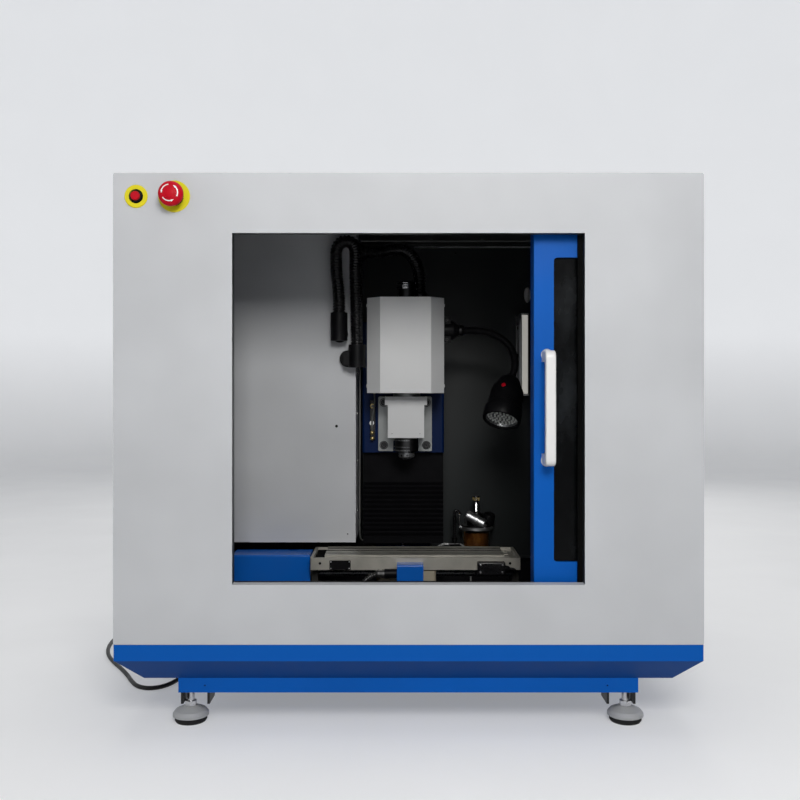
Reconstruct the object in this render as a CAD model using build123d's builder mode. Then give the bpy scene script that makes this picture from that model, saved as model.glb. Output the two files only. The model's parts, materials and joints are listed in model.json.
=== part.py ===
"""Small enclosed CNC milling machine: cabinet, telescopic door, three axes and spindle head.

Millimetres, +Z up, +X to the operator's right, the operator stands at -Y.
Depths are counted from the outer face of the front panel; depth() turns them into Y.
"""

from build123d import *
import math
import os

os.makedirs("parts", exist_ok=True)

# Cabinet
CABINET_WIDTH = 950.0
CABINET_DEPTH = 750.0
CABINET_TOP = 908.0
PANEL_BOTTOM = 149.5
SHEET = 1.5
PANEL_SHEET = 2.0
PANEL_FLANGE = 25.0
SIDE_FLANGE = 12.0
CORNER_RADIUS = 3.0
ESTOP_REACH = 34.0
GLAND_REACH = 24.0
FRONT_Y = ESTOP_REACH - (CABINET_DEPTH + ESTOP_REACH + GLAND_REACH) / 2
SEAM = 0.5

# Window and door
WINDOW_HALF = 283.6
WINDOW_LOW = 245.6
WINDOW_HIGH = 811.3
WINDOW_RETURN = 20.0
LEAF_LEFT = 206.0
LEAF_WIDTH = 252.0
LEAF_LOW = 228.0
LEAF_HIGH = 830.0
LEAF_THICK = 12.0
LEAF_PITCH = 14.5
LEAF_DEPTH = 30.0
STILE = 32.5
TOP_RAIL = 54.0
BOTTOM_RAIL = 48.6
PANE_REBATE = 6.0
PANE_THICK = 4.0
TRACK_GAP = 0.3
TRACK_LIP = 8.0
TRACK_LEFT = -300.0
TRACK_RIGHT = 460.0
HANDLE_X = 227.0
HANDLE_WIDTH = 16.7
HANDLE_LOW = 436.6
HANDLE_HIGH = 622.7
HANDLE_STANDOFF = 44.0
HANDLE_BAR = 11.0

# Buttons
BUTTON_Z = 870.0
ESTOP_INSET = 98.5
STOP_INSET = 37.4
ESTOP_X = ESTOP_INSET - CABINET_WIDTH / 2
STOP_X = STOP_INSET - CABINET_WIDTH / 2
ESTOP_RING_RADIUS = 25.5
STOP_RING_RADIUS = 18.5
RING_THICK = 2.0
BUTTON_HOLE = 11.25
ESTOP_STEM = 7.0
STOP_STEM = 5.5
BUTTON_RUNNING = 0.3

# Base, plinth and feet
TRAY_FLOOR = 84.0
TRAY_KNEE = 123.0
TRAY_INSET = 38.0
TRAY_WALL = 2.0
PLINTH_LOW = 60.0
PLINTH_HALF = 379.0
PLINTH_WALL = 3.0
FOOT_X = 367.0
FOOT_DEPTH = 78.0
DISC_RADIUS = 30.0
PAD_RADIUS = 27.0
PAD_HEIGHT = 10.0
STUD_RADIUS = 6.0

# Control compartment inside the chamber
BOX_RIGHT = -104.0
BOX_FRONT = 400.0
BOX_FLOOR = 245.0

# Bed, saddle and table
BED_FRONT = 335.0
BED_BACK = CABINET_DEPTH - 50.0
BED_HALF = 80.0
BED_SHOULDER = 150.0
BED_TOP = 165.0
WAY_BASE = 76.0
WAY_TOP = 92.0
WAY_GAP = 0.3
TROUGH_WIDTH = 40.0
COLUMN_PAD_FRONT = 545.0
Y_SCREW_X = 5.0
Y_SCREW_Z = 140.0
Y_SCREW_LENGTH = 221.0
TROUGH_LOW = Y_SCREW_Z - 22
SCREW_RADIUS = 6.0
SCREW_RUNNING = 0.1
NUT_RADIUS = 11.0
SADDLE_HALF = 56.0
SADDLE_FRONT = 300.0
SADDLE_BACK = 420.0
SADDLE_TOP = 206.5
TABLE_LEFT = -187.0
TABLE_RIGHT = 219.0
TABLE_LOW = 208.5
TABLE_RIM = 231.7
TABLE_TOP = 235.0
CROSS_WAY_BASE = 60.0
CROSS_WAY_TOP = 70.0
CROSS_WAY_HIGH = 214.0
PLATEAU_LEFT = -160.0
PLATEAU_RIGHT = 189.0
RIM_WIDTH = 6.0
CHANNEL = 6.0
CHANNEL_DEPTH = 5.0
SLOT_PITCH = 26.0
SLOT_NECK = 7.0
SLOT_NECK_DEPTH = 5.0
SLOT_WIDTH = 12.0
SLOT_DEPTH = 9.5
LUG_LOW = 164.0
LUG_THICK = 12.0
X_SCREW_Z = 190.0
X_COVER_LEFT = -343.0
X_COVER_RIGHT = -190.0
X_COVER_TOP = 232.0
X_COVER_LOW = 158.0
X_COVER_HALF = 31.0
X_MOTOR_SIZE = 56.4
X_MOTOR_LEFT = -320.0
X_MOTOR_FACE = -245.0
BELL_RADIUS = 26.0

# Column, head and spindle
COLUMN_X = -7.0
COLUMN_HALF = 60.0
COLUMN_FRONT = 560.0
COLUMN_BACK = CABINET_DEPTH - 70.0
COLUMN_WEB = 50.0
COLUMN_TOP = 700.0
COLUMN_WAY = 15.0
SLIDE_HALF = 87.0
SLIDE_FRONT = 484.0
SLIDE_LOW = 421.0
SLIDE_TOP = 698.0
Z_SCREW_DEPTH = 522.0
SPINDLE_X = 0.0
SPINDLE_DEPTH = 430.0
HEAD_X = -2.5
HEAD_HALF = 77.5
HEAD_FACE_HALF = 50.5
HEAD_FRONT = 350.0
HEAD_CHAMFER = 28.0
HEAD_LOW = 549.0
HEAD_TOP = 740.0
FLANGE_X = -3.0
FLANGE_HALF = 56.5
FLANGE_LOW = 425.0
FLANGE_HIGH = 540.0
FLANGE_THICK = 14.0
BOLT_SPACING = 90.0
BOLT_HEAD_RADIUS = 6.5
BOLT_COUNTERBORE = 7.5
HOUSING_RADIUS = 28.0
NOSE_RADIUS = 24.5
NOSE_LOW = 426.0
NOSE_HIGH = 456.0
COLLET_RADIUS = 16.5
COLLET_LOW = 412.0
SHANK_RADIUS = 3.0
SHAFT_RADIUS = 12.0
DRAWBAR_RADIUS = 17.0
DRAWBAR_TOP = 778.0
MOTOR_RADIUS = 38.0

# Way cover below the head
PLEAT_LOW = 238.0
PLEAT_PITCH = 9.9
PLEAT_COUNT = 12
WAY_COVER_LOW = 225.0
WAY_COVER_HALF = 86.0
WAY_COVER_FRONT = 500.0
WAY_COVER_BACK = 543.0

# Hoses and the mains lead
HOSE_RADIUS = 13.0
LEAD_RADIUS = 4.0
COIL_RADIUS = 45.0
COIL_INNER = 33.0
COIL_OUTER = 49.0
COIL_HEIGHT = 24.4
COIL_STUB = 28.0
LEAD_HIGH = 20.2
COIL_X = -520.0
COIL_DEPTH = 850.0


def depth(distance: float) -> float:
    """Y of a point this far behind the outer face of the front panel."""
    return FRONT_Y + distance


MIDDLE_Y = depth(CABINET_DEPTH / 2)
SLIDE_AXIS_Y = depth((SADDLE_FRONT + SADDLE_BACK) / 2)
SPINDLE_Y = depth(SPINDLE_DEPTH)


def block(low: tuple, high: tuple, mode: Mode = Mode.ADD) -> None:
    """Add or cut an upright block between two corners, given as X, depth and Z."""
    size = [b - a for a, b in zip(low, high)]
    middle = [(a + b) / 2 for a, b in zip(low, high)]
    with Locations((middle[0], depth(middle[1]), middle[2])):
        Box(*size, mode=mode)


def prism(plane: Plane, outline: list, amount: float, mode: Mode = Mode.ADD) -> None:
    """Extrude a closed outline that lies on a plane."""
    with BuildSketch(plane) as section:
        with BuildLine():
            Polyline(*outline, close=True)
        make_face()
    extrude(section.sketch, amount=amount, mode=mode)


def turned(profile: list, origin: tuple, direction: tuple, mode: Mode = Mode.ADD) -> None:
    """Revolve a profile of (radius, height) pairs about a line through the origin given."""
    along = Vector(*direction).normalized()
    side = Vector(1, 0, 0) if abs(along.X) < 0.5 else Vector(0, 1, 0)
    side = (side - along * side.dot(along)).normalized()
    with BuildSketch(Plane(origin=origin, x_dir=side, z_dir=side.cross(along))) as section:
        with BuildLine():
            Polyline(*profile, close=True)
        make_face()
    revolve(section.sketch, axis=Axis(origin, tuple(along)), mode=mode)


def rod(radius: float, origin: tuple, direction: tuple, length: float, mode: Mode = Mode.ADD) -> None:
    """Add or cut a plain cylinder that starts at the origin and runs along a direction."""
    turned([(0, 0), (radius, 0), (radius, length), (0, length)], origin, direction, mode)


def hose_path(points: list) -> tuple:
    """Corner points in the part's frame and the bend radius that each corner has room for."""
    corners = [Vector(x, depth(d), z) for x, d, z in points]
    radii = []
    for before, corner, after in zip(corners, corners[1:], corners[2:]):
        arriving, leaving = corner - before, after - corner
        turn = math.radians(arriving.get_angle(leaving))
        radii.append(0.45 * min(arriving.length, leaving.length) / math.tan(turn / 2))
    return corners, radii


def hose(points: list, radius: float, name: str) -> None:
    """Sweep a round hose along straight runs joined by tangent arcs."""
    corners, radii = hose_path(points)
    with BuildLine() as route:
        FilletPolyline(*corners, radius=radii)
    start = Plane(origin=corners[0], z_dir=corners[1] - corners[0])
    with BuildSketch(start) as section:
        Circle(radius)
    sweep(section.sketch, path=route.wire())
    print(name, "bend radii", [round(r) for r in radii], "length", round(route.wire().length))


# Front panel: a folded sheet with a flanged window and two button holes
FRONT_PLANE = Plane.XZ.offset(-FRONT_Y)
WINDOW_HEIGHT = WINDOW_HIGH - WINDOW_LOW
WINDOW_MIDDLE = (WINDOW_HIGH + WINDOW_LOW) / 2
with BuildPart() as front_panel:
    with BuildSketch(FRONT_PLANE):
        with Locations((0, (CABINET_TOP + PANEL_BOTTOM) / 2)):
            RectangleRounded(CABINET_WIDTH, CABINET_TOP - PANEL_BOTTOM, CORNER_RADIUS)
    extrude(amount=-PANEL_FLANGE)
    offset(amount=-PANEL_SHEET, openings=front_panel.faces().sort_by(Axis.Y)[-1])
    with BuildSketch(FRONT_PLANE):
        with Locations((0, WINDOW_MIDDLE)):
            Rectangle(2 * (WINDOW_HALF + SHEET), WINDOW_HEIGHT + 2 * SHEET)
    extrude(amount=-WINDOW_RETURN)
    with BuildSketch(FRONT_PLANE):
        with Locations((0, WINDOW_MIDDLE)):
            Rectangle(2 * WINDOW_HALF, WINDOW_HEIGHT)
        with Locations((ESTOP_X, BUTTON_Z), (STOP_X, BUTTON_Z)):
            Circle(BUTTON_HOLE)
    extrude(amount=-WINDOW_RETURN, mode=Mode.SUBTRACT)

# Side panels, rear panel and lid: folded sheets that butt against each other
SHELL_LOW = PANEL_BOTTOM
SHELL_HIGH = CABINET_TOP - SHEET - 2 * SEAM
REAR_FLANGE = 20.0
HALF = CABINET_WIDTH / 2
SIDE_FRONT = PANEL_FLANGE + SEAM
SIDE_BACK = CABINET_DEPTH - REAR_FLANGE - SEAM
with BuildPart() as side_panels:
    block((-HALF, SIDE_FRONT, SHELL_LOW), (-HALF + SIDE_FLANGE, SIDE_BACK, SHELL_HIGH))
    offset(amount=-SHEET, openings=side_panels.faces().sort_by(Axis.X)[-1])
    mirror(about=Plane.YZ)

with BuildPart() as rear_panel:
    block((-HALF, CABINET_DEPTH - REAR_FLANGE, SHELL_LOW), (HALF, CABINET_DEPTH, SHELL_HIGH))
    offset(amount=-SHEET, openings=rear_panel.faces().sort_by(Axis.Y)[0])
    with BuildSketch(Plane.XZ.offset(-depth(CABINET_DEPTH))):
        with Locations((-300, 760)):
            with GridLocations(90, 16, 3, 8):
                SlotOverall(70, 5)
        with Locations((-300, 190)):
            Circle(9.5)
    extrude(amount=SHEET, mode=Mode.SUBTRACT)

LID_FLANGE = 14.0
with BuildPart() as top_panel:
    block((-HALF, SIDE_FRONT, CABINET_TOP - SHEET), (HALF, CABINET_DEPTH, CABINET_TOP))
    for edge in (-1, 1):
        inner, outer = edge * (HALF - SIDE_FLANGE - SEAM - SHEET), edge * (HALF - SIDE_FLANGE - SEAM)
        block((min(inner, outer), SIDE_FRONT + SIDE_FLANGE, CABINET_TOP - SHEET - LID_FLANGE),
              (max(inner, outer), SIDE_BACK - SIDE_FLANGE, CABINET_TOP - SHEET))


def tray_form(shrink: float, floor: float, knee: float, rim: float, mode: Mode = Mode.ADD) -> None:
    """Loft the sloped underside of the base tray and carry it up to its rim."""
    wide, deep = CABINET_WIDTH - 2 * shrink, CABINET_DEPTH - 2 * shrink
    with BuildSketch(Plane(origin=(0, MIDDLE_Y, knee))) as upper:
        RectangleRounded(wide, deep, CORNER_RADIUS)
    with BuildSketch(Plane(origin=(0, MIDDLE_Y, floor))) as lower:
        RectangleRounded(wide - 2 * TRAY_INSET, deep - 2 * TRAY_INSET, CORNER_RADIUS)
    loft([lower.sketch, upper.sketch], mode=mode)
    extrude(upper.sketch, amount=rim - knee, mode=mode)


# Base tray with its sloped underside, and the plinth under it
TRAY_RIM = PANEL_BOTTOM - SEAM
with BuildPart() as base_tray:
    tray_form(0.0, TRAY_FLOOR, TRAY_KNEE, TRAY_RIM)
    tray_form(TRAY_WALL, TRAY_FLOOR + TRAY_WALL, TRAY_KNEE, TRAY_RIM + 1, Mode.SUBTRACT)

PLINTH_FRONT = TRAY_INSET
PLINTH_BACK = CABINET_DEPTH - TRAY_INSET
PLINTH_LIP = 60.0
with BuildPart() as plinth:
    block((-PLINTH_HALF, PLINTH_FRONT, PLINTH_LOW), (PLINTH_HALF, PLINTH_BACK, TRAY_FLOOR))
    offset(amount=-PLINTH_WALL, openings=plinth.faces().sort_by(Axis.Z)[-1])
    block((-PLINTH_HALF + PLINTH_LIP, PLINTH_FRONT + PLINTH_LIP, PLINTH_LOW),
          (PLINTH_HALF - PLINTH_LIP, PLINTH_BACK - PLINTH_LIP, PLINTH_LOW + PLINTH_WALL), Mode.SUBTRACT)
    for foot_x in (-FOOT_X, FOOT_X):
        for foot_depth in (FOOT_DEPTH, CABINET_DEPTH - FOOT_DEPTH):
            rod(STUD_RADIUS + 0.5, (foot_x, depth(foot_depth), PLINTH_LOW), (0, 0, 1), PLINTH_WALL,
                Mode.SUBTRACT)

# Feet: bracket, stud with nuts, domed disc and rubber pad at each corner
FEET = [(x, depth(d)) for x in (-FOOT_X, FOOT_X) for d in (FOOT_DEPTH, CABINET_DEPTH - FOOT_DEPTH)]
BRACKET_HALF = 24.0
BRACKET_LOW = 35.0
BRACKET_SHEET = 4.0
BRACKET_INSET = PLINTH_HALF - FOOT_X
with BuildPart() as foot_brackets:
    for foot_x, foot_y in FEET:
        shift = -math.copysign(BRACKET_HALF - BRACKET_INSET, foot_x)
        with Locations((foot_x + shift, foot_y, (BRACKET_LOW + PLINTH_LOW) / 2)):
            Box(2 * BRACKET_HALF, 44, PLINTH_LOW - BRACKET_LOW)
        with Locations((foot_x + shift, foot_y, (BRACKET_LOW + PLINTH_LOW) / 2 - BRACKET_SHEET)):
            Box(2 * (BRACKET_HALF - BRACKET_SHEET), 44, PLINTH_LOW - BRACKET_LOW, mode=Mode.SUBTRACT)
        rod(STUD_RADIUS + 0.5, (foot_x, foot_y, BRACKET_LOW), (0, 0, 1), 30, Mode.SUBTRACT)

with BuildPart() as foot_pads:
    for foot_x, foot_y in FEET:
        turned([(0, 0), (PAD_RADIUS - 2, 0), (PAD_RADIUS, 3), (PAD_RADIUS, PAD_HEIGHT), (0, PAD_HEIGHT)],
               (foot_x, foot_y, 0), (0, 0, 1))

DISC_TOP = 26.0
with BuildPart() as foot_discs:
    for foot_x, foot_y in FEET:
        turned([(STUD_RADIUS + 0.3, PAD_HEIGHT), (DISC_RADIUS, PAD_HEIGHT), (DISC_RADIUS, 14), (26, 19),
                (17, 23), (11, DISC_TOP), (STUD_RADIUS + 0.3, DISC_TOP)], (foot_x, foot_y, 0), (0, 0, 1))

NUT_HEIGHT = 8.0
NUT_CIRCLE = 10.0
with BuildPart() as foot_studs:
    for foot_x, foot_y in FEET:
        rod(STUD_RADIUS, (foot_x, foot_y, PAD_HEIGHT + 0.3), (0, 0, 1), 64)
        for nut_low in (DISC_TOP + 0.3, PLINTH_LOW + PLINTH_WALL + 0.3):
            with BuildSketch(Plane(origin=(foot_x, foot_y, nut_low))) as nut_face:
                RegularPolygon(NUT_CIRCLE, 6, rotation=30)
            extrude(nut_face.sketch, amount=NUT_HEIGHT)

# Control compartment: a folded sheet box on the left, with the drives and the power supply in it
BOX_LEFT = -HALF + SIDE_FLANGE + SEAM + SHEET + 1
BOX_BACK = CABINET_DEPTH - REAR_FLANGE - SEAM
BOX_TOP = CABINET_TOP - SHEET - LID_FLANGE - SEAM
with BuildPart() as control_compartment:
    block((BOX_LEFT, BOX_FRONT, BOX_FLOOR), (BOX_RIGHT, BOX_BACK, BOX_TOP))
    box_faces = control_compartment.faces()
    offset(amount=-SHEET, openings=[box_faces.sort_by(Axis.X)[0], box_faces.sort_by(Axis.Y)[-1],
                                    box_faces.sort_by(Axis.Z)[-1]])
    rod(3.0, (-143, depth(BOX_FRONT - 1), 481), (0, 1, 0), SHEET + 2, Mode.SUBTRACT)

UNITS_LEFT = BOX_LEFT + 20.0
UNIT_WIDTH = 48.0
UNIT_GAP = 8.0
UNIT_DEPTH = 100.0
UNIT_LOW = 560.0
UNIT_HIGH = 700.0
FIN_PITCH = 24.0
FIN_DEPTH = 8.0
FIN_EDGE = 6.0
SUPPLY_LOW = 320.0
SUPPLY_HIGH = 520.0
SUPPLY_WIDTH = 110.0
SUPPLY_DEPTH = 50.0
SUPPLY_GAP = 20.0
DRIVE_WIDTH = 90.0
DRIVE_DEPTH = 120.0
DRIVE_LEFT = UNITS_LEFT + SUPPLY_WIDTH + SUPPLY_GAP
with BuildPart() as control_units:
    for unit in range(3):
        unit_left = UNITS_LEFT + unit * (UNIT_WIDTH + UNIT_GAP)
        block((unit_left, BOX_FRONT + SHEET, UNIT_LOW),
              (unit_left + UNIT_WIDTH, BOX_FRONT + UNIT_DEPTH, UNIT_HIGH))
        for fin in range(5):
            fin_low = UNIT_LOW + FIN_PITCH / 2 + fin * FIN_PITCH
            block((unit_left + FIN_EDGE, BOX_FRONT + UNIT_DEPTH - FIN_DEPTH, fin_low),
                  (unit_left + UNIT_WIDTH - FIN_EDGE, BOX_FRONT + UNIT_DEPTH, fin_low + FIN_PITCH / 2),
                  Mode.SUBTRACT)
    block((UNITS_LEFT, BOX_FRONT + SHEET, SUPPLY_LOW),
          (UNITS_LEFT + SUPPLY_WIDTH, BOX_FRONT + SUPPLY_DEPTH, SUPPLY_HIGH))
    block((DRIVE_LEFT, BOX_FRONT + SHEET, SUPPLY_LOW),
          (DRIVE_LEFT + DRIVE_WIDTH, BOX_FRONT + DRIVE_DEPTH, SUPPLY_HIGH))

# Door tracks: a grooved runner above and below the three leaves
TRACK_BACK = LEAF_DEPTH + 2 * LEAF_PITCH + LEAF_THICK + 3
LEAF_DEPTHS = [LEAF_DEPTH + leaf * LEAF_PITCH for leaf in range(3)]
with BuildPart() as door_tracks:
    block((TRACK_LEFT, LEAF_DEPTH - 3, LEAF_HIGH - TRACK_LIP), (TRACK_RIGHT, TRACK_BACK, LEAF_HIGH + 4))
    block((TRACK_LEFT, PANEL_SHEET, LEAF_HIGH + 4), (TRACK_RIGHT, TRACK_BACK, LEAF_HIGH + 8))
    block((TRACK_LEFT, LEAF_DEPTH - 3, LEAF_LOW - 4), (TRACK_RIGHT, TRACK_BACK, LEAF_LOW + TRACK_LIP))
    block((TRACK_LEFT, PANEL_SHEET, LEAF_LOW - 8), (TRACK_RIGHT, TRACK_BACK, LEAF_LOW - 4))
    for leaf_depth in LEAF_DEPTHS:
        groove_front, groove_back = leaf_depth - TRACK_GAP, leaf_depth + LEAF_THICK + TRACK_GAP
        block((TRACK_LEFT, groove_front, LEAF_HIGH - TRACK_LIP),
              (TRACK_RIGHT, groove_back, LEAF_HIGH + TRACK_GAP),
              Mode.SUBTRACT)
        block((TRACK_LEFT, groove_front, LEAF_LOW - TRACK_GAP),
              (TRACK_RIGHT, groove_back, LEAF_LOW + TRACK_LIP),
              Mode.SUBTRACT)

# Door leaves: a frame and its pane, three times
PANE_LEFT = LEAF_LEFT + STILE
PANE_RIGHT = LEAF_LEFT + LEAF_WIDTH - STILE
PANE_LOW = LEAF_LOW + BOTTOM_RAIL
PANE_HIGH = LEAF_HIGH - TOP_RAIL
PANE_WIDTH = PANE_RIGHT - PANE_LEFT
PANE_HEIGHT = PANE_HIGH - PANE_LOW
PANE_CENTRE = ((PANE_LEFT + PANE_RIGHT) / 2, (PANE_LOW + PANE_HIGH) / 2)
door_frames, door_panes = [], []
for leaf_depth in LEAF_DEPTHS:
    leaf_plane = Plane.XZ.offset(-depth(leaf_depth))
    with BuildPart() as leaf_frame:
        with BuildSketch(leaf_plane):
            with Locations((LEAF_LEFT + LEAF_WIDTH / 2, (LEAF_LOW + LEAF_HIGH) / 2)):
                Rectangle(LEAF_WIDTH, LEAF_HIGH - LEAF_LOW)
            with Locations(PANE_CENTRE):
                RectangleRounded(PANE_WIDTH, PANE_HEIGHT, 6, mode=Mode.SUBTRACT)
        extrude(amount=-LEAF_THICK)
        with BuildSketch(leaf_plane.offset(-LEAF_THICK)):
            with Locations(PANE_CENTRE):
                Rectangle(PANE_WIDTH + 2 * PANE_REBATE, PANE_HEIGHT + 2 * PANE_REBATE)
        extrude(amount=PANE_THICK + 0.5, mode=Mode.SUBTRACT)
    with BuildPart() as leaf_pane:
        with BuildSketch(leaf_plane.offset(-LEAF_THICK + PANE_THICK + 0.5)):
            with Locations(PANE_CENTRE):
                Rectangle(PANE_WIDTH + 2 * PANE_REBATE - 0.6, PANE_HEIGHT + 2 * PANE_REBATE - 0.6)
        extrude(amount=-PANE_THICK)
    door_frames.append(leaf_frame)
    door_panes.append(leaf_pane)

# Door handle: a bow of flat bar on the front leaf
HANDLE_FOOT = 18.0
with BuildPart() as door_handle:
    handle_low, handle_high = HANDLE_LOW, HANDLE_HIGH
    handle_plane = Plane.YZ.offset(HANDLE_X - HANDLE_WIDTH / 2)
    leaf_face, bar_face = depth(LEAF_DEPTH), depth(LEAF_DEPTH - HANDLE_STANDOFF)
    with BuildSketch(handle_plane):
        with BuildLine():
            Polyline((leaf_face, handle_low), (bar_face, handle_low), (bar_face, handle_high),
                     (leaf_face, handle_high), (leaf_face, handle_high - HANDLE_FOOT),
                     (bar_face + HANDLE_BAR, handle_high - HANDLE_FOOT),
                     (bar_face + HANDLE_BAR, handle_low + HANDLE_FOOT),
                     (leaf_face, handle_low + HANDLE_FOOT), close=True)
        make_face()
    extrude(amount=HANDLE_WIDTH)
    bow_corners = door_handle.edges().filter_by(Axis.X).group_by(Axis.Y)
    fillet(bow_corners[0], 12)
    fillet(door_handle.edges().filter_by(Axis.X).filter_by_position(Axis.Y, bar_face + HANDLE_BAR - 0.1,
                                                                    bar_face + HANDLE_BAR + 0.1), 8)
    fillet(door_handle.faces().sort_by(Axis.Y)[0].edges().filter_by(Axis.Z), 3)

# Buttons: ring plates, bases, the mushroom head and the small cap
AIM = (0, 1, 0)
with BuildPart() as button_rings:
    for ring_x, ring_radius in ((ESTOP_X, ESTOP_RING_RADIUS), (STOP_X, STOP_RING_RADIUS)):
        turned([(BUTTON_HOLE + 0.2, -RING_THICK), (ring_radius - 0.6, -RING_THICK),
                (ring_radius, -RING_THICK + 0.6),
                (ring_radius, 0), (BUTTON_HOLE + 0.2, 0)], (ring_x, FRONT_Y, BUTTON_Z), AIM)

ESTOP_COLLAR = 14.0
STOP_COLLAR = 9.0
with BuildPart() as button_bases:
    for base_x, collar, collar_radius, stem in ((ESTOP_X, ESTOP_COLLAR, 15.0, ESTOP_STEM),
                                                (STOP_X, STOP_COLLAR, 13.0, STOP_STEM)):
        bore = stem + BUTTON_RUNNING
        turned([(bore, -collar), (collar_radius - 1.5, -collar), (collar_radius, -collar + 2),
                (collar_radius, -RING_THICK - 0.1), (BUTTON_HOLE - 0.3, -RING_THICK - 0.1),
                (BUTTON_HOLE - 0.3, PANEL_SHEET + 0.1), (15, PANEL_SHEET + 0.1), (15, 8), (bore, 8)],
               (base_x, FRONT_Y, BUTTON_Z), AIM)
        block((base_x - 14, 8, BUTTON_Z - 14), (base_x + 14, 44, BUTTON_Z + 14))
        rod(bore, (base_x, depth(8), BUTTON_Z), AIM, 16, Mode.SUBTRACT)

HEAD_BACK = -ESTOP_COLLAR - 7
with BuildPart() as estop_head:
    turned([(0, -ESTOP_REACH), (4.2, -ESTOP_REACH), (5.2, -ESTOP_REACH + 1.2), (6.5, -ESTOP_REACH + 1.6),
            (13, -ESTOP_REACH + 1.9), (17, -ESTOP_REACH + 3.4), (19.4, -ESTOP_REACH + 6),
            (20, -ESTOP_REACH + 9),
            (20, HEAD_BACK - 1), (19, HEAD_BACK), (ESTOP_STEM, HEAD_BACK), (ESTOP_STEM, 10), (0, 10)],
           (ESTOP_X, FRONT_Y, BUTTON_Z), AIM)

CAP_BACK = -STOP_COLLAR - 3.4
CAP_FACE = CAP_BACK - 4.0
with BuildPart() as stop_button_cap:
    turned([(0, CAP_FACE), (6.2, CAP_FACE), (7.15, CAP_FACE + 1), (7.15, CAP_BACK), (STOP_STEM, CAP_BACK),
            (STOP_STEM, 10), (0, 10)], (STOP_X, FRONT_Y, BUTTON_Z), AIM)


def way_outline(base: float, top: float, low: float, high: float, shift: float = 0.0,
                gap: float = 0.0) -> list:
    """Corners of a dovetail that is base wide where it leaves its carrier and top wide at its crest."""
    return [(shift - base / 2 - gap, low), (shift + base / 2 + gap, low),
            (shift + top / 2 + gap, high), (shift - top / 2 - gap, high)]


# Machine bed: a casting with a dovetail way, a screw trough and a pad for the column
BED_PLANE = Plane.XZ.offset(-depth(BED_FRONT))
with BuildPart() as machine_base:
    prism(BED_PLANE,
          [(-BED_HALF, TRAY_FLOOR + TRAY_WALL), (BED_HALF, TRAY_FLOOR + TRAY_WALL), (BED_HALF, 100),
           (64, 110),
                      (54, BED_SHOULDER), (-54, BED_SHOULDER), (-64, 110), (-BED_HALF, 100)],
          BED_FRONT - BED_BACK)
    prism(BED_PLANE, way_outline(WAY_BASE, WAY_TOP, BED_SHOULDER, BED_TOP), BED_FRONT - COLUMN_PAD_FRONT)
    block((-BED_HALF, COLUMN_PAD_FRONT, 100), (BED_HALF, BED_BACK, BED_TOP))
    block((Y_SCREW_X - TROUGH_WIDTH / 2, BED_FRONT + LUG_THICK, TROUGH_LOW),
          (Y_SCREW_X + TROUGH_WIDTH / 2, COLUMN_PAD_FRONT, BED_TOP), Mode.SUBTRACT)
    rod(SCREW_RADIUS + SCREW_RUNNING, (Y_SCREW_X, depth(BED_FRONT), Y_SCREW_Z), AIM, LUG_THICK,
        Mode.SUBTRACT)
    rod(SCREW_RADIUS + SCREW_RUNNING, (Y_SCREW_X, depth(COLUMN_PAD_FRONT), Y_SCREW_Z), AIM, 12,
        Mode.SUBTRACT)

# Column: a ribbed casting with the head's dovetail way and the lower screw bearing
WAY_LOW = 200.0
POCKETS = 4
POCKET_HALF = 44.0
POCKET_HEIGHT = 104.0
POCKET_RIB = 18.0
POCKET_FOOT = 40.0
BEARING_BLOCK = 16.0
TOP_PLATE = 6.0
with BuildPart() as column:
    block((COLUMN_X - COLUMN_HALF, COLUMN_FRONT, BED_TOP),
          (COLUMN_X + COLUMN_HALF, COLUMN_BACK, COLUMN_TOP))
    fillet(column.edges().filter_by(Axis.Z), 6)
    for pocket in range(POCKETS):
        pocket_low = BED_TOP + POCKET_FOOT + pocket * (POCKET_HEIGHT + POCKET_RIB)
        block((COLUMN_X - POCKET_HALF, COLUMN_FRONT + COLUMN_WEB, pocket_low),
              (COLUMN_X + POCKET_HALF, COLUMN_BACK, pocket_low + POCKET_HEIGHT), Mode.SUBTRACT)
    prism(Plane.XY.offset(WAY_LOW),
          way_outline(WAY_BASE, WAY_TOP, depth(COLUMN_FRONT), depth(COLUMN_FRONT - COLUMN_WAY),
                                                COLUMN_X), COLUMN_TOP - WAY_LOW)
    block((COLUMN_X - 18, Z_SCREW_DEPTH - 14, WAY_LOW),
          (COLUMN_X + 18, COLUMN_FRONT, WAY_LOW + BEARING_BLOCK))
    rod(SCREW_RADIUS + SCREW_RUNNING, (COLUMN_X, depth(Z_SCREW_DEPTH), WAY_LOW), (0, 0, 1), BEARING_BLOCK,
        Mode.SUBTRACT)
    block((COLUMN_X - 40, Z_SCREW_DEPTH - 24, COLUMN_TOP),
          (COLUMN_X + 40, COLUMN_BACK - 20, COLUMN_TOP + TOP_PLATE))
    rod(SCREW_RADIUS + SCREW_RUNNING, (COLUMN_X, depth(Z_SCREW_DEPTH), COLUMN_TOP), (0, 0, 1), TOP_PLATE,
        Mode.SUBTRACT)

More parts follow.
